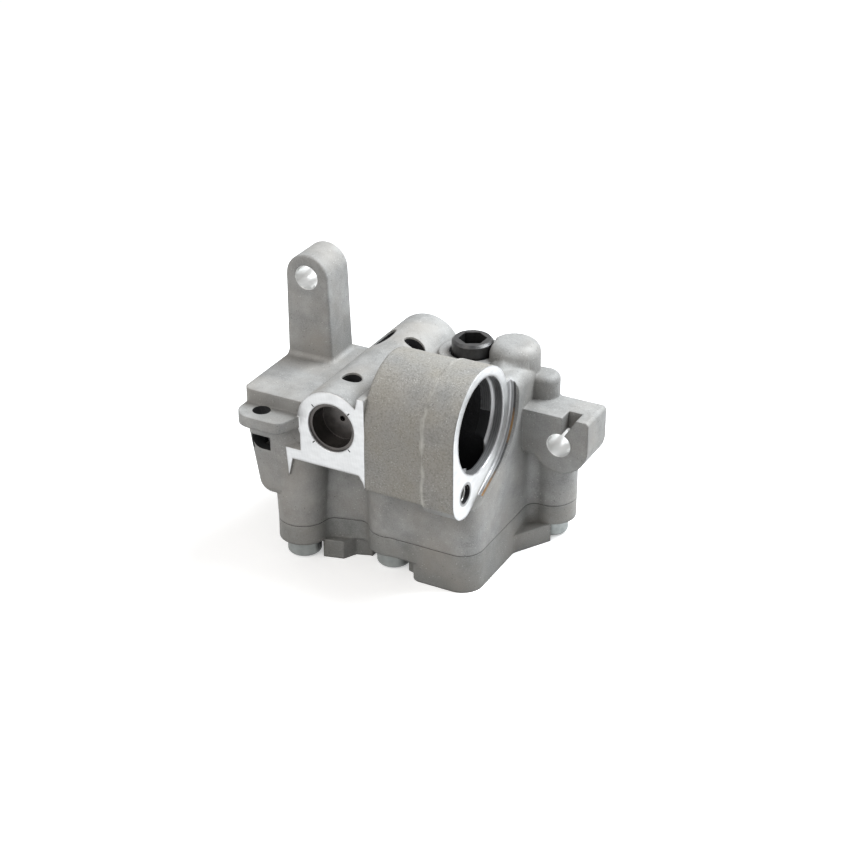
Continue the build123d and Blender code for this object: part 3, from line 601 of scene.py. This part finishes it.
@dataclass(frozen=True)
class CastAluminium:
    """Blasted die-cast skin, with bright milled faces and machined bores."""

    skin: Colour = (0.40, 0.40, 0.395)
    shade: Colour = (0.25, 0.25, 0.245)
    warm: Colour = (0.29, 0.275, 0.245)
    grit: Colour = (0.13, 0.125, 0.11)
    tan: Colour = (0.35, 0.32, 0.285)
    # painted shade colour laid into crevices and corners
    painted_crevice_shade: Colour = (0.105, 0.10, 0.09)
    milled: Colour = (0.60, 0.605, 0.61)
    milled_shade: Colour = (0.42, 0.425, 0.43)
    bored: Colour = (0.46, 0.46, 0.465)
    bored_shade: Colour = (0.24, 0.24, 0.245)
    # bright machined metal, painted brighter as if lit from behind
    drilled_metal_painted_light: Colour = (0.72, 0.72, 0.71)
    # dark painted shade for the chamfer round the flange hole
    painted_chamfer_shade: Colour = (0.16, 0.16, 0.16)
    line: Colour = (0.03, 0.03, 0.03)
    # near black painted shade for hollows that little light reaches
    dark: Colour = (0.006, 0.006, 0.007)
    specks: Flecks = Flecks(0.7 * MM, 0.2, 6.0 * MM, 0.48, 0.4, (0.62, 0.61, 0.58), 3.0)
    nicks: Flecks = Flecks(1.3 * MM, 0.16, 5.0 * MM, 0.53, 0.3, (0.72, 0.72, 0.70))
    pits: Flecks = Flecks(1.9 * MM, 0.13, 7.0 * MM, 0.5, 0.4, (0.10, 0.10, 0.10))
    tinge: Cloud = Cloud(17.0 * MM, 4.0, 2.6, -1.05)
    tinge_strength: float = 0.6
    painted_crevice_shade_reach: float = 18.0 * MM
    painted_crevice_shade_strength: float = 0.5
    grit_strength: float = 0.6
    stroke_pitch: float = 1.1 * MM
    stroke_turn: float = 900.0            # radians per metre of height
    ring_pitch: float = 0.8 * MM
    seam_level: float = 15.0 * MM
    seam_width: float = 0.12 * MM
    edge_radius: float = 1.2 * MM
    bump_depth: float = 0.10 * MM
    faces: Tuple[MilledFace, ...] = ()
    bores: Tuple[Union[Bore, Slit], ...] = ()
    drilled: Tuple[Bore, ...] = ()
    painted_shade_hollows: Tuple[Union[Bore, Zone], ...] = ()
    raw: Tuple[Union[Bore, Zone], ...] = ()
    wear: Optional[Wear] = None
    stain: Optional[SlitShadeAndStain] = None
    stakes: Optional[Stakes] = None
    shaded_countersink: Optional[Bore] = None

    def material(self, name: str) -> bpy.types.Material:
        """Build the finish.

        The skin is a mottled grey with grains, light nicks and darker clouds.  Masks worked out
        from the place and the normal lay the milled and bored metal over it.

        Args:
            name: the material's name.

        Returns:
            The material.
        """
        g = MaterialGraph(name)
        place = g.axes("Object")
        facing = g.axes("Normal")
        flat = joined([face.mask(place, facing) for face in self.faces], g)
        bored = joined([bore.mask(place) for bore in self.bores], g) * (1.0 - flat)
        drilled = joined([bore.mask(place) for bore in self.drilled], g) * (1.0 - flat)
        hollow_shade = joined([zone.mask(place) for zone in self.painted_shade_hollows], g) * (1.0 - flat)
        raw = joined([zone.mask(place) for zone in self.raw], g)
        seam = (abs(place[2] - self.seam_level) < self.seam_width) * (abs(facing[2]) < 0.5)

        grain = g.noise(0.5 * MM, 3.0)
        patches = g.noise(3.2 * MM, 3.0)
        coarse = g.noise(0.75 * MM, 4.0)
        pits = self.pits.mask(g)
        colour = self._skin_colour(g, grain, patches, coarse, raw)
        if self.wear is not None:
            colour = self.wear.over(colour, raw, place)
        colour = g.blend(self.nicks.mask(g) * self.nicks.strength, colour, self.nicks.colour)
        colour = g.blend(pits * self.pits.strength, colour, self.pits.colour)

        strokes = place[0] * (2.0 * math.pi / self.stroke_pitch) + place[2] * self.stroke_turn
        strokes = strokes.sine()
        worn = (g.noise(4.0 * MM, 4.0, (1.0, 1.0, 2.5)) - 0.5) * 1.1
        bright = g.blend((0.32 + strokes * 0.05 + worn).capped(), self.milled, self.milled_shade)
        rings = (place[0] * (2.0 * math.pi / self.ring_pitch)).sine()
        turned = g.blend((0.5 + rings * 0.30).capped(), self.bored, self.bored_shade)

        colour = g.blend(flat, colour, bright)
        colour = g.blend(bored, colour, turned)
        # Painted light: the drilled lug bores are painted bright, as if lit through from behind.
        colour = g.blend(drilled, colour, self.drilled_metal_painted_light)
        # Painted shade: the insides of bores, holes and passages are painted near black as if
        # unlit.
        colour = g.blend(hollow_shade, colour, self.dark)
        colour = g.blend(seam * 0.8, colour, self.line)
        # Painted shade: a dark ring round the flange hole stands in for the chamfer's shade.
        if self.shaded_countersink is not None:
            colour = g.blend(self.shaded_countersink.mask(place) * 0.75, colour, self.painted_chamfer_shade)
        # Painted shade and a golden stain in the relief's slit.
        if self.stain is not None:
            colour = self.stain.over(colour, grain, place)
        if self.stakes is not None:
            colour = g.blend(self.stakes.mask(place) * flat, colour, self.line)

        machined = flat.either(bored).either(drilled)
        dimples = (grain - 0.5) + (patches - 0.5) * 0.7 - pits * 0.6 + raw * (coarse - 0.5) * 1.6
        height = dimples * (1.0 - machined) + strokes * flat * 0.02 + rings * bored * 0.08
        return g.surface(
            Base_Color=colour,
            Roughness=0.65 + (grain - 0.5) * 0.25 - machined * 0.30 + hollow_shade * 0.25,
            Metallic=(0.22 + machined * 0.55 - hollow_shade).capped(),
            Normal=g.relief(height, self.bump_depth, self.edge_radius),
        )

    def _skin_colour(
        self, g: Graph, grain: Value, patches: Value, coarse: Value, raw: Value
    ) -> Any:
        """Colour of the casting where no cutter has touched it.

        Args:
            g: the material's graph.
            grain: the finest noise.
            patches: noise of a few millimetres.
            coarse: the grit of the raw skin.
            raw: where the skin is the raw, gritty one.

        Returns:
            The colour socket.
        """
        clouds = g.noise(11.0 * MM, 5.0)
        tone = (clouds * 1.9 - 0.55 + (grain - 0.5) * 1.5 + (patches - 0.5) * 0.9).capped()
        colour = g.blend(tone, self.shade, self.skin)
        colour = g.blend(self.tinge.level(g).capped() * self.tinge_strength, colour, self.tan)
        colour = g.blend(raw * (clouds * 2.4 - 0.55).capped(), colour, self.warm)
        grit = raw * (coarse * 3.0 - 1.35).capped() * self.grit_strength
        colour = g.blend(grit, colour, self.grit)
        specks = raw * self.specks.mask(g) * self.specks.strength
        colour = g.blend(specks, colour, self.specks.colour)
        # Painted shade: darker where ambient occlusion finds the surface closed in, in crevices
        # and corners.
        painted_crevice_shade = (g.crevice(self.painted_crevice_shade_reach) * 1.7 - 0.2 + (patches - 0.5) * 0.3).capped()
        return g.blend(painted_crevice_shade * self.painted_crevice_shade_strength, colour, self.painted_crevice_shade)


@dataclass(frozen=True)
class Steel:
    """Steel that is turned, ground, blackened or plated."""

    colour: Colour
    stain: Colour
    roughness: float
    metallic: float = 0.9
    lines: float = 0.35 * MM
    line_depth: float = 0.012 * MM
    axis: Axis = Axis.Z
    edge_radius: float = 0.25 * MM

    def material(self, name: str) -> bpy.types.Material:
        """Build the finish: fine turning lines across the axis, under a thin cloudy stain.

        Args:
            name: the material's name.

        Returns:
            The material.
        """
        g = MaterialGraph(name)
        place = g.axes("Object")
        wave = (place[self.axis.value] * (2.0 * math.pi / self.lines)).sine()
        cloud = g.noise(2.4 * MM, 4.0)
        fine = g.noise(0.25 * MM, 2.0)
        colour = g.blend((cloud * 1.6 - 0.4).capped(), self.colour, self.stain)
        rough = self.roughness + (cloud - 0.5) * 0.25
        height = wave * 0.5 + (fine - 0.5)
        return g.surface(
            Base_Color=colour,
            Roughness=rough,
            Metallic=self.metallic,
            Normal=g.relief(height, self.line_depth, self.edge_radius),
        )


@dataclass(frozen=True)
class Bronze:
    """Porous bearing bronze."""

    colour: Colour = (0.50, 0.33, 0.17)
    light: Colour = (0.62, 0.45, 0.26)
    pore: Colour = (0.16, 0.10, 0.05)

    def material(self, name: str) -> bpy.types.Material:
        """Build the finish: small dark pores in a warm metal."""
        g = MaterialGraph(name)
        pores = (g.cells(0.35 * MM) < 0.2) * 0.7
        warm = g.noise(1.8 * MM, 3.0)
        return g.surface(
            Base_Color=g.blend(pores, g.blend(warm, self.colour, self.light), self.pore),
            Roughness=0.42 + warm * 0.1,
            Metallic=0.9,
            Normal=g.relief(1.0 - pores, 0.02 * MM),
        )


@dataclass(frozen=True)
class SealRubber:
    """Black moulded rubber with a faint oily bloom."""

    colour: Colour = (0.018, 0.018, 0.019)
    bloom: Colour = (0.05, 0.05, 0.052)

    def material(self, name: str) -> bpy.types.Material:
        """Build the finish: dark, slightly mottled."""
        g = MaterialGraph(name)
        bloom = g.noise(0.8 * MM, 3.0)
        return g.surface(
            Base_Color=g.blend(bloom, self.colour, self.bloom),
            Roughness=0.45 + bloom * 0.2,
            Normal=g.relief(bloom, 0.02 * MM),
        )


# ------------------------------------------------------------------ meshes
def mesh_from_grid(name: str, points: np.ndarray, wrap: Tuple[bool, bool]) -> bpy.types.Object:
    """Make a mesh of quads from a grid of points.

    Args:
        name: the object's name.
        points: an array of rows by columns by 3, in metres.
        wrap: whether the rows and the columns close on themselves.

    Returns:
        The new object, at the origin.
    """
    rows, columns = points.shape[:2]
    i = np.arange(rows if wrap[0] else rows - 1)
    j = np.arange(columns if wrap[1] else columns - 1)
    i, j = np.meshgrid(i, j, indexing="ij")
    down, across = (i + 1) % rows, (j + 1) % columns
    quads = np.stack(
        [i * columns + j, down * columns + j, down * columns + across, i * columns + across], -1
    ).reshape(-1, 4)
    mesh = bpy.data.meshes.new(name)
    mesh.from_pydata(points.reshape(-1, 3).tolist(), [], quads.tolist())
    mesh.polygons.foreach_set("use_smooth", np.ones(len(quads), bool))
    made = bpy.data.objects.new(name, mesh)
    bpy.context.scene.collection.objects.link(made)
    return made


def close_ends(made: bpy.types.Object, columns: int) -> None:
    """Close both ends of a tube with one face each.

    Args:
        made: a tube whose rows run round it, columns points to a row.
        columns: points in one row.
    """
    mesh = made.data
    count = len(mesh.vertices)
    points = np.empty(count * 3)
    mesh.vertices.foreach_get("co", points)
    faces = [tuple(p.vertices) for p in mesh.polygons]
    faces.append(tuple(range(columns)))
    faces.append(tuple(reversed(range(count - columns, count))))
    mesh.clear_geometry()
    mesh.from_pydata(points.reshape(-1, 3).tolist(), [], faces)
    mesh.polygons.foreach_set("use_smooth", np.array([len(f) == 4 for f in faces]))


def outward(made: bpy.types.Object) -> None:
    """Turn every face of a closed mesh outwards."""
    work = bmesh.new()
    work.from_mesh(made.data)
    bmesh.ops.recalc_face_normals(work, faces=work.faces)
    work.to_mesh(made.data)
    work.free()


@dataclass
class ValveSpring:
    """A compression spring of round wire along +Y, with closed ends."""

    name: str
    node: str
    joint: str
    centre: Tuple[float, float]
    start: float
    end: float
    coil_radius: float
    wire_radius: float
    turns: int
    travel: float
    closed_turns: float = 0.9    # at each end
    closed_pitch: float = 1.02   # of those turns, in wire diameters
    steps_per_turn: int = 28
    wire_steps: int = 12

    def path(self) -> np.ndarray:
        """Centre line of the wire.

        The angle a runs evenly through all turns.  The height over the start is the length times
        a smooth ramp that is nearly flat in the first and the last turn, where the coils close up.

        Returns:
            Points by 3, in metres.
        """
        count = self.turns * self.steps_per_turn + 1
        t = np.linspace(0.0, 1.0, count)
        angle = 2.0 * np.pi * self.turns * t
        free = self.end - self.start - 2.0 * self.wire_radius
        closed = self.closed_turns / self.turns
        rise = np.clip((t - closed) / (1.0 - 2.0 * closed), 0.0, 1.0)
        coil_height = 2.0 * self.wire_radius * self.closed_pitch
        lead = np.clip(t / closed, 0.0, 1.0) * coil_height
        tail = np.clip((t - 1.0 + closed) / closed, 0.0, 1.0) * coil_height
        height = lead + tail + rise * (free - 2.0 * coil_height)
        return np.stack(
            [
                self.centre[0] + self.coil_radius * np.cos(angle),
                self.start + self.wire_radius + height,
                self.centre[1] + self.coil_radius * np.sin(angle),
            ],
            -1,
        )

    def build(self, material: bpy.types.Material, slot: str) -> bpy.types.Object:
        """Sweep a circle along the path.

        Each ring lies in the plane of the outward direction and the axis direction, both made
        square to the path.

        Args:
            material: the finish.
            slot: not used.

        Returns:
            The spring.
        """
        line = self.path()
        along = np.gradient(line, axis=0)
        along /= np.linalg.norm(along, axis=1, keepdims=True)
        out = line - np.array([self.centre[0], 0.0, self.centre[1]])
        out[:, 1] = 0.0
        out /= np.linalg.norm(out, axis=1, keepdims=True)
        side = np.cross(along, out)
        side /= np.linalg.norm(side, axis=1, keepdims=True)
        around = np.linspace(0.0, 2.0 * np.pi, self.wire_steps, endpoint=False)
        ring = (
            np.cos(around)[None, :, None] * out[:, None, :]
            + np.sin(around)[None, :, None] * side[:, None, :]
        )
        made = mesh_from_grid(self.name, line[:, None, :] + self.wire_radius * ring, (False, True))
        close_ends(made, self.wire_steps)
        outward(made)
        made.data.materials.append(material)
        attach(made, "casing")
        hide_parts(self.node)
        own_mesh(made)
        return made


@dataclass
class FlangeThread:
    """The thread cut in the tapped hole of the suction flange."""

    centre: Tuple[float, float]
    mouth: float = 22.34 * MM
    core_radius: float = 3.41 * MM
    ridge: float = 0.42 * MM
    pitch: float = 1.25 * MM
    lead_in: float = 0.8         # from the mouth to the first turn, in pitches
    turns: int = 9
    steps: int = 36

    def build(self, material: bpy.types.Material, slot: str) -> bpy.types.Object:
        """Sweep a small ridge along a helix on the wall of the hole.

        The ridge's section is a blunt triangle that points to the axis; its foot lies just
        inside the wall, and its ends shrink to nothing.

        Args:
            material: the finish.
            slot: not used.

        Returns:
            The thread.
        """
        t = np.linspace(0.0, 1.0, self.turns * self.steps + 1)
        angle = 2.0 * np.pi * self.turns * t
        fade = np.clip(np.minimum(t, 1.0 - t) * self.turns * 2.0, 0.02, 1.0)
        section = np.array([[0.0, -0.42], [-0.9, -0.1], [-0.9, 0.1], [0.0, 0.42]])
        depth = self.core_radius + section[None, :, 0] * self.ridge * fade[:, None]
        place = (
            self.mouth
            - self.lead_in * self.pitch
            - self.pitch * self.turns * t[:, None]
            + section[None, :, 1] * self.pitch * fade[:, None]
        )
        points = np.stack(
            [
                place,
                self.centre[0] + depth * np.cos(angle)[:, None],
                self.centre[1] + depth * np.sin(angle)[:, None],
            ],
            -1,
        )
        made = mesh_from_grid("flange_thread", points, (False, True))
        close_ends(made, len(section))
        outward(made)
        made.data.materials.append(material)
        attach(made, "casing")
        return made


@dataclass
class HumpSaddle:
    """The cast web that lets the hump by the hub run out over the shoulder in front of it."""

    centre: Tuple[float, float] = (15.04 * MM, 3.4 * MM)
    hump_radius: float = 9.4 * MM
    hump_top: float = 76.06 * MM
    hump_rounding: float = 4.5 * MM
    inner_radius: float = 4.6 * MM
    outer_radius: float = 17.0 * MM
    first_angle: float = math.radians(247.0)
    full_angle: float = math.radians(272.0)
    last_angle: float = math.radians(328.0)
    softness: float = 5.9 * MM
    right_slope: float = 12.0
    wall_x: float = 24.44 * MM
    shoulder_left_x: float = 10.44 * MM
    shoulder_top: float = 70.06 * MM
    shoulder_rounding: float = 5.0 * MM
    edge_gap: float = 0.15 * MM
    sink: float = 0.03 * MM
    depth: float = 1.6 * MM
    steps: Tuple[int, int] = (96, 60)

    def outline(self, level: np.ndarray) -> np.ndarray:
        """Radius of the web's foot: its outer radius, or where it meets the shoulder's sides.

        Args:
            level: cosines of the directions from the hump's axis.

        Returns:
            A radius for each.
        """
        right = self.wall_x - self.edge_gap - self.centre[0]
        left = self.shoulder_left_x + self.edge_gap - self.centre[0]
        steep = np.where(np.abs(level) < 0.02, 0.02, level)
        room = np.where(level > 0.0, right, left) / steep
        return np.minimum(self.outer_radius, np.abs(room))

    def hump(self, radius: np.ndarray, level: np.ndarray) -> np.ndarray:
        """Height of the hump: flat, then a quarter circle, then a slope steeper to the right."""
        past = np.clip(radius - self.hump_radius + self.hump_rounding, 0.0, self.hump_rounding)
        rim = self.hump_top - self.hump_rounding + np.sqrt(self.hump_rounding**2 - past**2)
        slope = 1.0 + self.right_slope * np.clip(level, 0.0, 1.0) ** 2
        return rim - slope * np.clip(radius - self.hump_radius, 0.0, None)

    def shoulder(self, x: np.ndarray) -> np.ndarray:
        """Height of the shoulder: flat, then a quarter circle down to the right wall."""
        past = np.clip(x - (self.wall_x - self.shoulder_rounding), 0.0, self.shoulder_rounding)
        drop = self.shoulder_rounding - np.sqrt(self.shoulder_rounding**2 - past**2)
        return self.shoulder_top - drop

    def build(self, material: bpy.types.Material, slot: str) -> bpy.types.Object:
        """Make the web as a fan of closed ribs round the hump's axis.

        Its height is the smooth maximum of the hump and the shoulder: the larger of the two, plus
        (k - difference) squared over 4 k where they differ by less than the softness k, which
        fades out to both sides.  Its underside lies inside the casting.

        Args:
            material: the finish.
            slot: not used.

        Returns:
            The web.
        """
        angle = np.linspace(self.first_angle, self.last_angle, self.steps[0])[:, None]
        level = np.cos(angle)
        s = np.linspace(0.0, 1.0, self.steps[1])[None, :]
        radius = self.inner_radius + (self.outline(level) - self.inner_radius) * s
        x = self.centre[0] + radius * level
        y = self.centre[1] + radius * np.sin(angle)
        turn = np.clip((angle - self.first_angle) / (self.full_angle - self.first_angle), 0.0, 1.0)
        soft = turn * turn * (3.0 - 2.0 * turn) * (1.0 - np.clip(level, 0.0, 1.0)) ** 0.8
        k = np.maximum(self.softness * soft, 1e-7)
        hump, shoulder = self.hump(radius, level), self.shoulder(x)
        swell = np.maximum(k - np.abs(hump - shoulder), 0.0) ** 2 / (4.0 * k)
        top = np.maximum(hump, shoulder) + swell - self.sink
        upper = np.stack([x, y, top], -1)
        lower = np.stack([x, y, shoulder - self.depth], -1)
        ribs = np.concatenate([upper, lower[:, ::-1]], axis=1)
        made = mesh_from_grid("hump_saddle", ribs, (False, True))
        close_ends(made, ribs.shape[1])
        outward(made)
        made.data.materials.append(material)
        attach(made, "casing")
        return made


# ------------------------------------------------------------------ sub-assemblies
SUCTION_AXIS = (-37.5 * MM, 63.16 * MM)      # y and z
FLANGE_EAR = (-49.0 * MM, 42.16 * MM)        # y and z
VALVE_AXIS = (-24.9 * MM, 59.86 * MM)        # x and z
SAFETY_AXIS = (-50.5 * MM, 46.0 * MM)        # x and z
RELIEF_WALL = Slit(
    upper=SUCTION_AXIS,
    upper_radius=25.0 * MM,
    lower=FLANGE_EAR,
    lower_radius=10.4 * MM,
    start=21.0 * MM,
    end=22.5 * MM,
)


@dataclass
class Casing:
    """Housing and cover, with what is fixed in them."""

    cast: CastAluminium = field(
        default_factory=lambda: CastAluminium(
            faces=(
                MilledFace(Axis.Y, -1, -57.8 * MM, high=(-11.9 * MM, math.inf, math.inf)),
                MilledFace(Axis.X, 1, 22.34 * MM),
                MilledFace(Axis.X, 1, 21.14 * MM),
            ),
            bores=(
                Bore(Axis.X, SUCTION_AXIS, 17.2 * MM, 13.9 * MM, 22.3 * MM),
                Bore(Axis.Y, VALVE_AXIS, 9.1 * MM, -57.75 * MM, 13.2 * MM),
                Bore(Axis.Z, (0.0, 0.0), 8.4 * MM, 66.0 * MM, 76.0 * MM),
                RELIEF_WALL,
            ),
            drilled=(
                Bore(Axis.Y, (-53.0 * MM, 97.16 * MM), 4.5 * MM, -26.0 * MM, -10.0 * MM),
                Bore(Axis.Y, (38.6 * MM, 45.8 * MM), 4.5 * MM, -10.0 * MM, 8.0 * MM),
            ),
            # painted shade: near black inside these bores, holes and passages
            painted_shade_hollows=(
                Bore(Axis.X, SUCTION_AXIS, 16.6 * MM, -8.0 * MM, 13.9 * MM),
                Bore(Axis.Y, VALVE_AXIS, 12.7 * MM, -47.0 * MM, 12.0 * MM),
                Bore(Axis.Z, (-51.7 * MM, -59.3 * MM), 3.2 * MM, 56.5 * MM, 60.9 * MM),
                Bore(Axis.X, FLANGE_EAR, 3.4 * MM, 4.0 * MM, 22.2 * MM),
                Zone((-58.6 * MM, -55.9 * MM, 43.0 * MM), (-50.4 * MM, -40.0 * MM, 49.0 * MM)),
                Zone((0.0, -42.5 * MM, 15.2 * MM), (17.8 * MM, -16.0 * MM, 60.0 * MM)),
            ),
            raw=(
                Bore(Axis.X, SUCTION_AXIS, 21.3 * MM, -12.5 * MM, 22.2 * MM),
                Zone((-12.5 * MM, -60.0 * MM, 38.2 * MM), (22.2 * MM, -46.0 * MM, 64.0 * MM)),
            ),
            wear=Wear(level=10.34 * MM),
            stain=SlitShadeAndStain(
                slit=replace(RELIEF_WALL, start=22.5 * MM, end=23.3 * MM),
                levels=(53.0 * MM, 35.0 * MM),
            ),
            stakes=Stakes(VALVE_AXIS, 9.3 * MM, 10.5 * MM),
            shaded_countersink=Bore(Axis.X, FLANGE_EAR, 4.3 * MM, 22.2 * MM, 22.5 * MM),
        )
    )
    # The cover's darker skin is partly its own greener tone and partly painted shade for its dim
    # lower front.
    cover_cast_with_painted_shade: CastAluminium = CastAluminium(skin=(0.33, 0.335, 0.33), shade=(0.20, 0.205, 0.20))
    plated: Steel = Steel((0.33, 0.35, 0.345), (0.22, 0.235, 0.23), 0.46, 0.6)
    ground: Steel = Steel((0.46, 0.46, 0.47), (0.30, 0.30, 0.31), 0.28)
    pressed: Steel = Steel((0.060, 0.057, 0.055), (0.11, 0.10, 0.095), 0.36, axis=Axis.Y)
    tapped: Steel = Steel((0.66, 0.66, 0.65), (0.45, 0.45, 0.44), 0.35, axis=Axis.X)
    wire: Steel = Steel((0.30, 0.30, 0.32), (0.16, 0.15, 0.15), 0.32)
    screws: int = 6

    def build(self) -> List[bpy.types.Object]:
        """Dress the fixed nodes and add the springs, the web and the thread.

        Returns:
            The new pieces.
        """
        skin = self.cast.material("die_cast_aluminium")
        dress(skin, "pump_housing")
        dress(self.cover_cast_with_painted_shade.material("die_cast_cover"), "pump_cover")
        dress(Bronze().material("bearing_bronze"), "upper_bush", "lower_bush")
        dress(SealRubber().material("seal_rubber"), "outlet_seal")
        dress(
            self.plated.material("zinc_plated_steel"),
            *(f"cover_screw_{i}" for i in range(1, self.screws + 1)),
        )
        dress(
            self.ground.material("ground_steel"), "front_dowel", "rear_dowel", "safety_valve_seat"
        )
        dress(
            self.pressed.material("pressed_steel"),
            "control_valve_cap",
            "safety_valve_plug",
            "gallery_plug",
        )
        wire = self.wire.material("spring_steel")
        tapped = self.tapped.material("tapped_aluminium")
        control = ValveSpring(
            name="control_spring_wire",
            node="control_spring",
            joint="control_travel",
            centre=VALVE_AXIS,
            start=-48.48 * MM,
            end=-7.04 * MM,
            coil_radius=6.0 * MM,
            wire_radius=0.9 * MM,
            turns=9,
            travel=8.0 * MM,
        )
        safety = ValveSpring(
            name="safety_spring_wire",
            node="safety_valve_spring",
            joint="relief_travel",
            centre=SAFETY_AXIS,
            start=-51.98 * MM,
            end=-23.4 * MM,
            coil_radius=4.2 * MM,
            wire_radius=0.7 * MM,
            turns=9,
            travel=3.0 * MM,
        )
        return [
            control.build(wire, "spring_steel"),
            safety.build(wire, "spring_steel"),
            HumpSaddle().build(skin, "cast_housing"),
            FlangeThread(FLANGE_EAR).build(tapped, "cast_housing"),
        ]


@dataclass
class RotorSet:
    """Drive shaft with its pin, and the two lobed rotors."""

    dark: Steel = Steel((0.055, 0.055, 0.058), (0.10, 0.097, 0.094), 0.34, 0.85)
    sintered: Steel = Steel((0.32, 0.32, 0.33), (0.22, 0.22, 0.22), 0.45, lines=0.9 * MM)
    ground: Steel = Steel((0.46, 0.46, 0.47), (0.30, 0.30, 0.31), 0.28, axis=Axis.X)

    def build(self) -> None:
        """Dress the turning nodes."""
        dress(self.dark.material("blackened_steel"), "drive_shaft")
        dress(self.sintered.material("sintered_steel"), "inner_rotor", "outer_rotor")
        dress(self.ground.material("pin_steel"), "drive_pin")


@dataclass
class Valves:
    """The sliding pieces of the control valve and the safety valve."""

    piston: Steel = Steel((0.48, 0.48, 0.49), (0.34, 0.34, 0.35), 0.25, axis=Axis.Y)
    ball: Steel = Steel((0.70, 0.70, 0.71), (0.62, 0.62, 0.63), 0.12, line_depth=0.002 * MM)

    def build(self) -> None:
        """Dress the sliding nodes."""
        dress(self.piston.material("piston_steel"), "control_piston")
        dress(self.ball.material("ball_steel"), "safety_valve_ball")


def dress(material: bpy.types.Material, *nodes: str) -> None:
    """Give CAD nodes a material.

    Args:
        material: the finish.
        nodes: the nodes' names.
    """
    for name in nodes:
        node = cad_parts[name]
        slots = node.material_slots
        if not slots:
            node.data.materials.append(material)
        for slot in slots:
            slot.material = material
        log.info("dressed %s in %s", name, material.name)


# ------------------------------------------------------------------ studio
@dataclass(frozen=True)
class Lamp:
    """A square soft lamp that faces the pump."""

    name: str
    place: Vec3
    size: float
    power: float
    colour: Colour
    aim: Vec3 = (0.0, 0.0, 0.04)

    def build(self) -> None:
        """Hang the lamp, turned so that its face looks at the aim."""
        light = bpy.data.lights.new(self.name, "AREA")
        light.size = self.size
        light.energy = self.power
        light.color = self.colour
        made = bpy.data.objects.new(self.name, light)
        made.location = self.place
        away = np.array(self.aim) - np.array(self.place)
        made.rotation_euler = (
            math.atan2(math.hypot(away[0], away[1]), -away[2]),
            0.0,
            math.atan2(away[0], -away[1]) + math.pi,
        )
        bpy.context.scene.collection.objects.link(made)


@dataclass
class Studio:
    """White table, soft light and the camera."""

    camera_place: Vec3 = (0.2811, -0.5664, 0.3804)
    camera_turn: Vec3 = (math.radians(61.69), 0.0, math.radians(27.93))
    lens: float = 83.69
    sensor: float = 36.0
    key: Lamp = Lamp("key", (0.30, 0.28, 0.62), 0.45, 8.9, (0.93, 0.97, 1.0))
    front: Lamp = Lamp("front", (-0.25, -0.75, 0.55), 0.6, 3.6, (1.0, 0.97, 0.93))
    white: Colour = (1.0, 1.0, 1.0)
    ambient: float = 0.355
    floor_size: float = 6.0
    floor_bounce: float = 0.2
    floor_glow: float = 0.42
    floor_near: float = 0.35
    floor_blend: float = 0.5

    def build(self) -> None:
        """Make the floor, the lights and the camera."""
        self.floor()
        self.world()
        self.key.build()
        self.front.build()
        camera = bpy.data.cameras.new("camera")
        camera.lens = self.lens
        camera.sensor_width = self.sensor
        made = bpy.data.objects.new("camera", camera)
        made.location = self.camera_place
        made.rotation_euler = self.camera_turn
        bpy.context.scene.collection.objects.link(made)
        bpy.context.scene.camera = made
        bpy.context.scene.view_settings.view_transform = "Standard"

    def floor(self) -> None:
        """A wide white table that keeps the pump's shadow and fades to plain white far off."""
        half = self.floor_size / 2
        level = CAD_BOX[0][2]
        edge = np.array([-half, half])
        x, y = np.meshgrid(edge, edge, indexing="ij")
        corners = np.stack([x, y, np.full_like(x, level)], -1)
        made = mesh_from_grid("table", corners, (False, False))
        g = MaterialGraph("white_table")
        seen = g.seen_rays()
        plain = g.node("ShaderNodeBsdfDiffuse", inputs={"Color": (self.floor_bounce,) * 3})
        bright = g.node("ShaderNodeBsdfDiffuse", inputs={"Color": self.white})
        glow = self._glow(g, self.floor_glow)
        lit = g.node("ShaderNodeAddShader", inputs={0: bright.outputs[0], 1: glow.outputs[0]})
        east, north, _ = g.axes("Object")
        reach = g.math("SQRT", east * east + north * north)
        distant = ((reach - self.floor_near) * (1.0 / self.floor_blend)).capped()
        lit = self._mixed(g, distant, lit, self._glow(g, 1.0))
        made.data.materials.append(g.finish(self._mixed(g, seen, plain, lit)))

    def world(self) -> None:
        """White surroundings: full white where seen, dimmer as light."""
        world = bpy.data.worlds.new("studio")
        world.use_nodes = True
        bpy.context.scene.world = world
        g = Graph(world.node_tree)
        strength = g.seen_rays() * (1.0 - self.ambient) + self.ambient
        back = g.node("ShaderNodeBackground", inputs={"Color": self.white, "Strength": strength})
        g.node("ShaderNodeOutputWorld", inputs={"Surface": back.outputs[0]})

    def _glow(self, g: Graph, strength: float) -> Any:
        """An emission shader in white."""
        return g.node("ShaderNodeEmission", inputs={"Color": self.white, "Strength": strength})

    @staticmethod
    def _mixed(g: Graph, factor: Value, first: Any, second: Any) -> Any:
        """Mix two shaders, 0 for the first and 1 for the second."""
        inputs = {0: factor, 1: first.outputs[0], 2: second.outputs[0]}
        return g.node("ShaderNodeMixShader", inputs=inputs)


def main() -> None:
    """Build the pump's looks and the studio."""
    logging.basicConfig(level=logging.INFO)
    for piece in Casing().build():
        log.info("built %s", piece.name)
    RotorSet().build()
    Valves().build()
    Studio().build()
    bpy.context.view_layer.update()


if __name__ == "__main__":
    main()
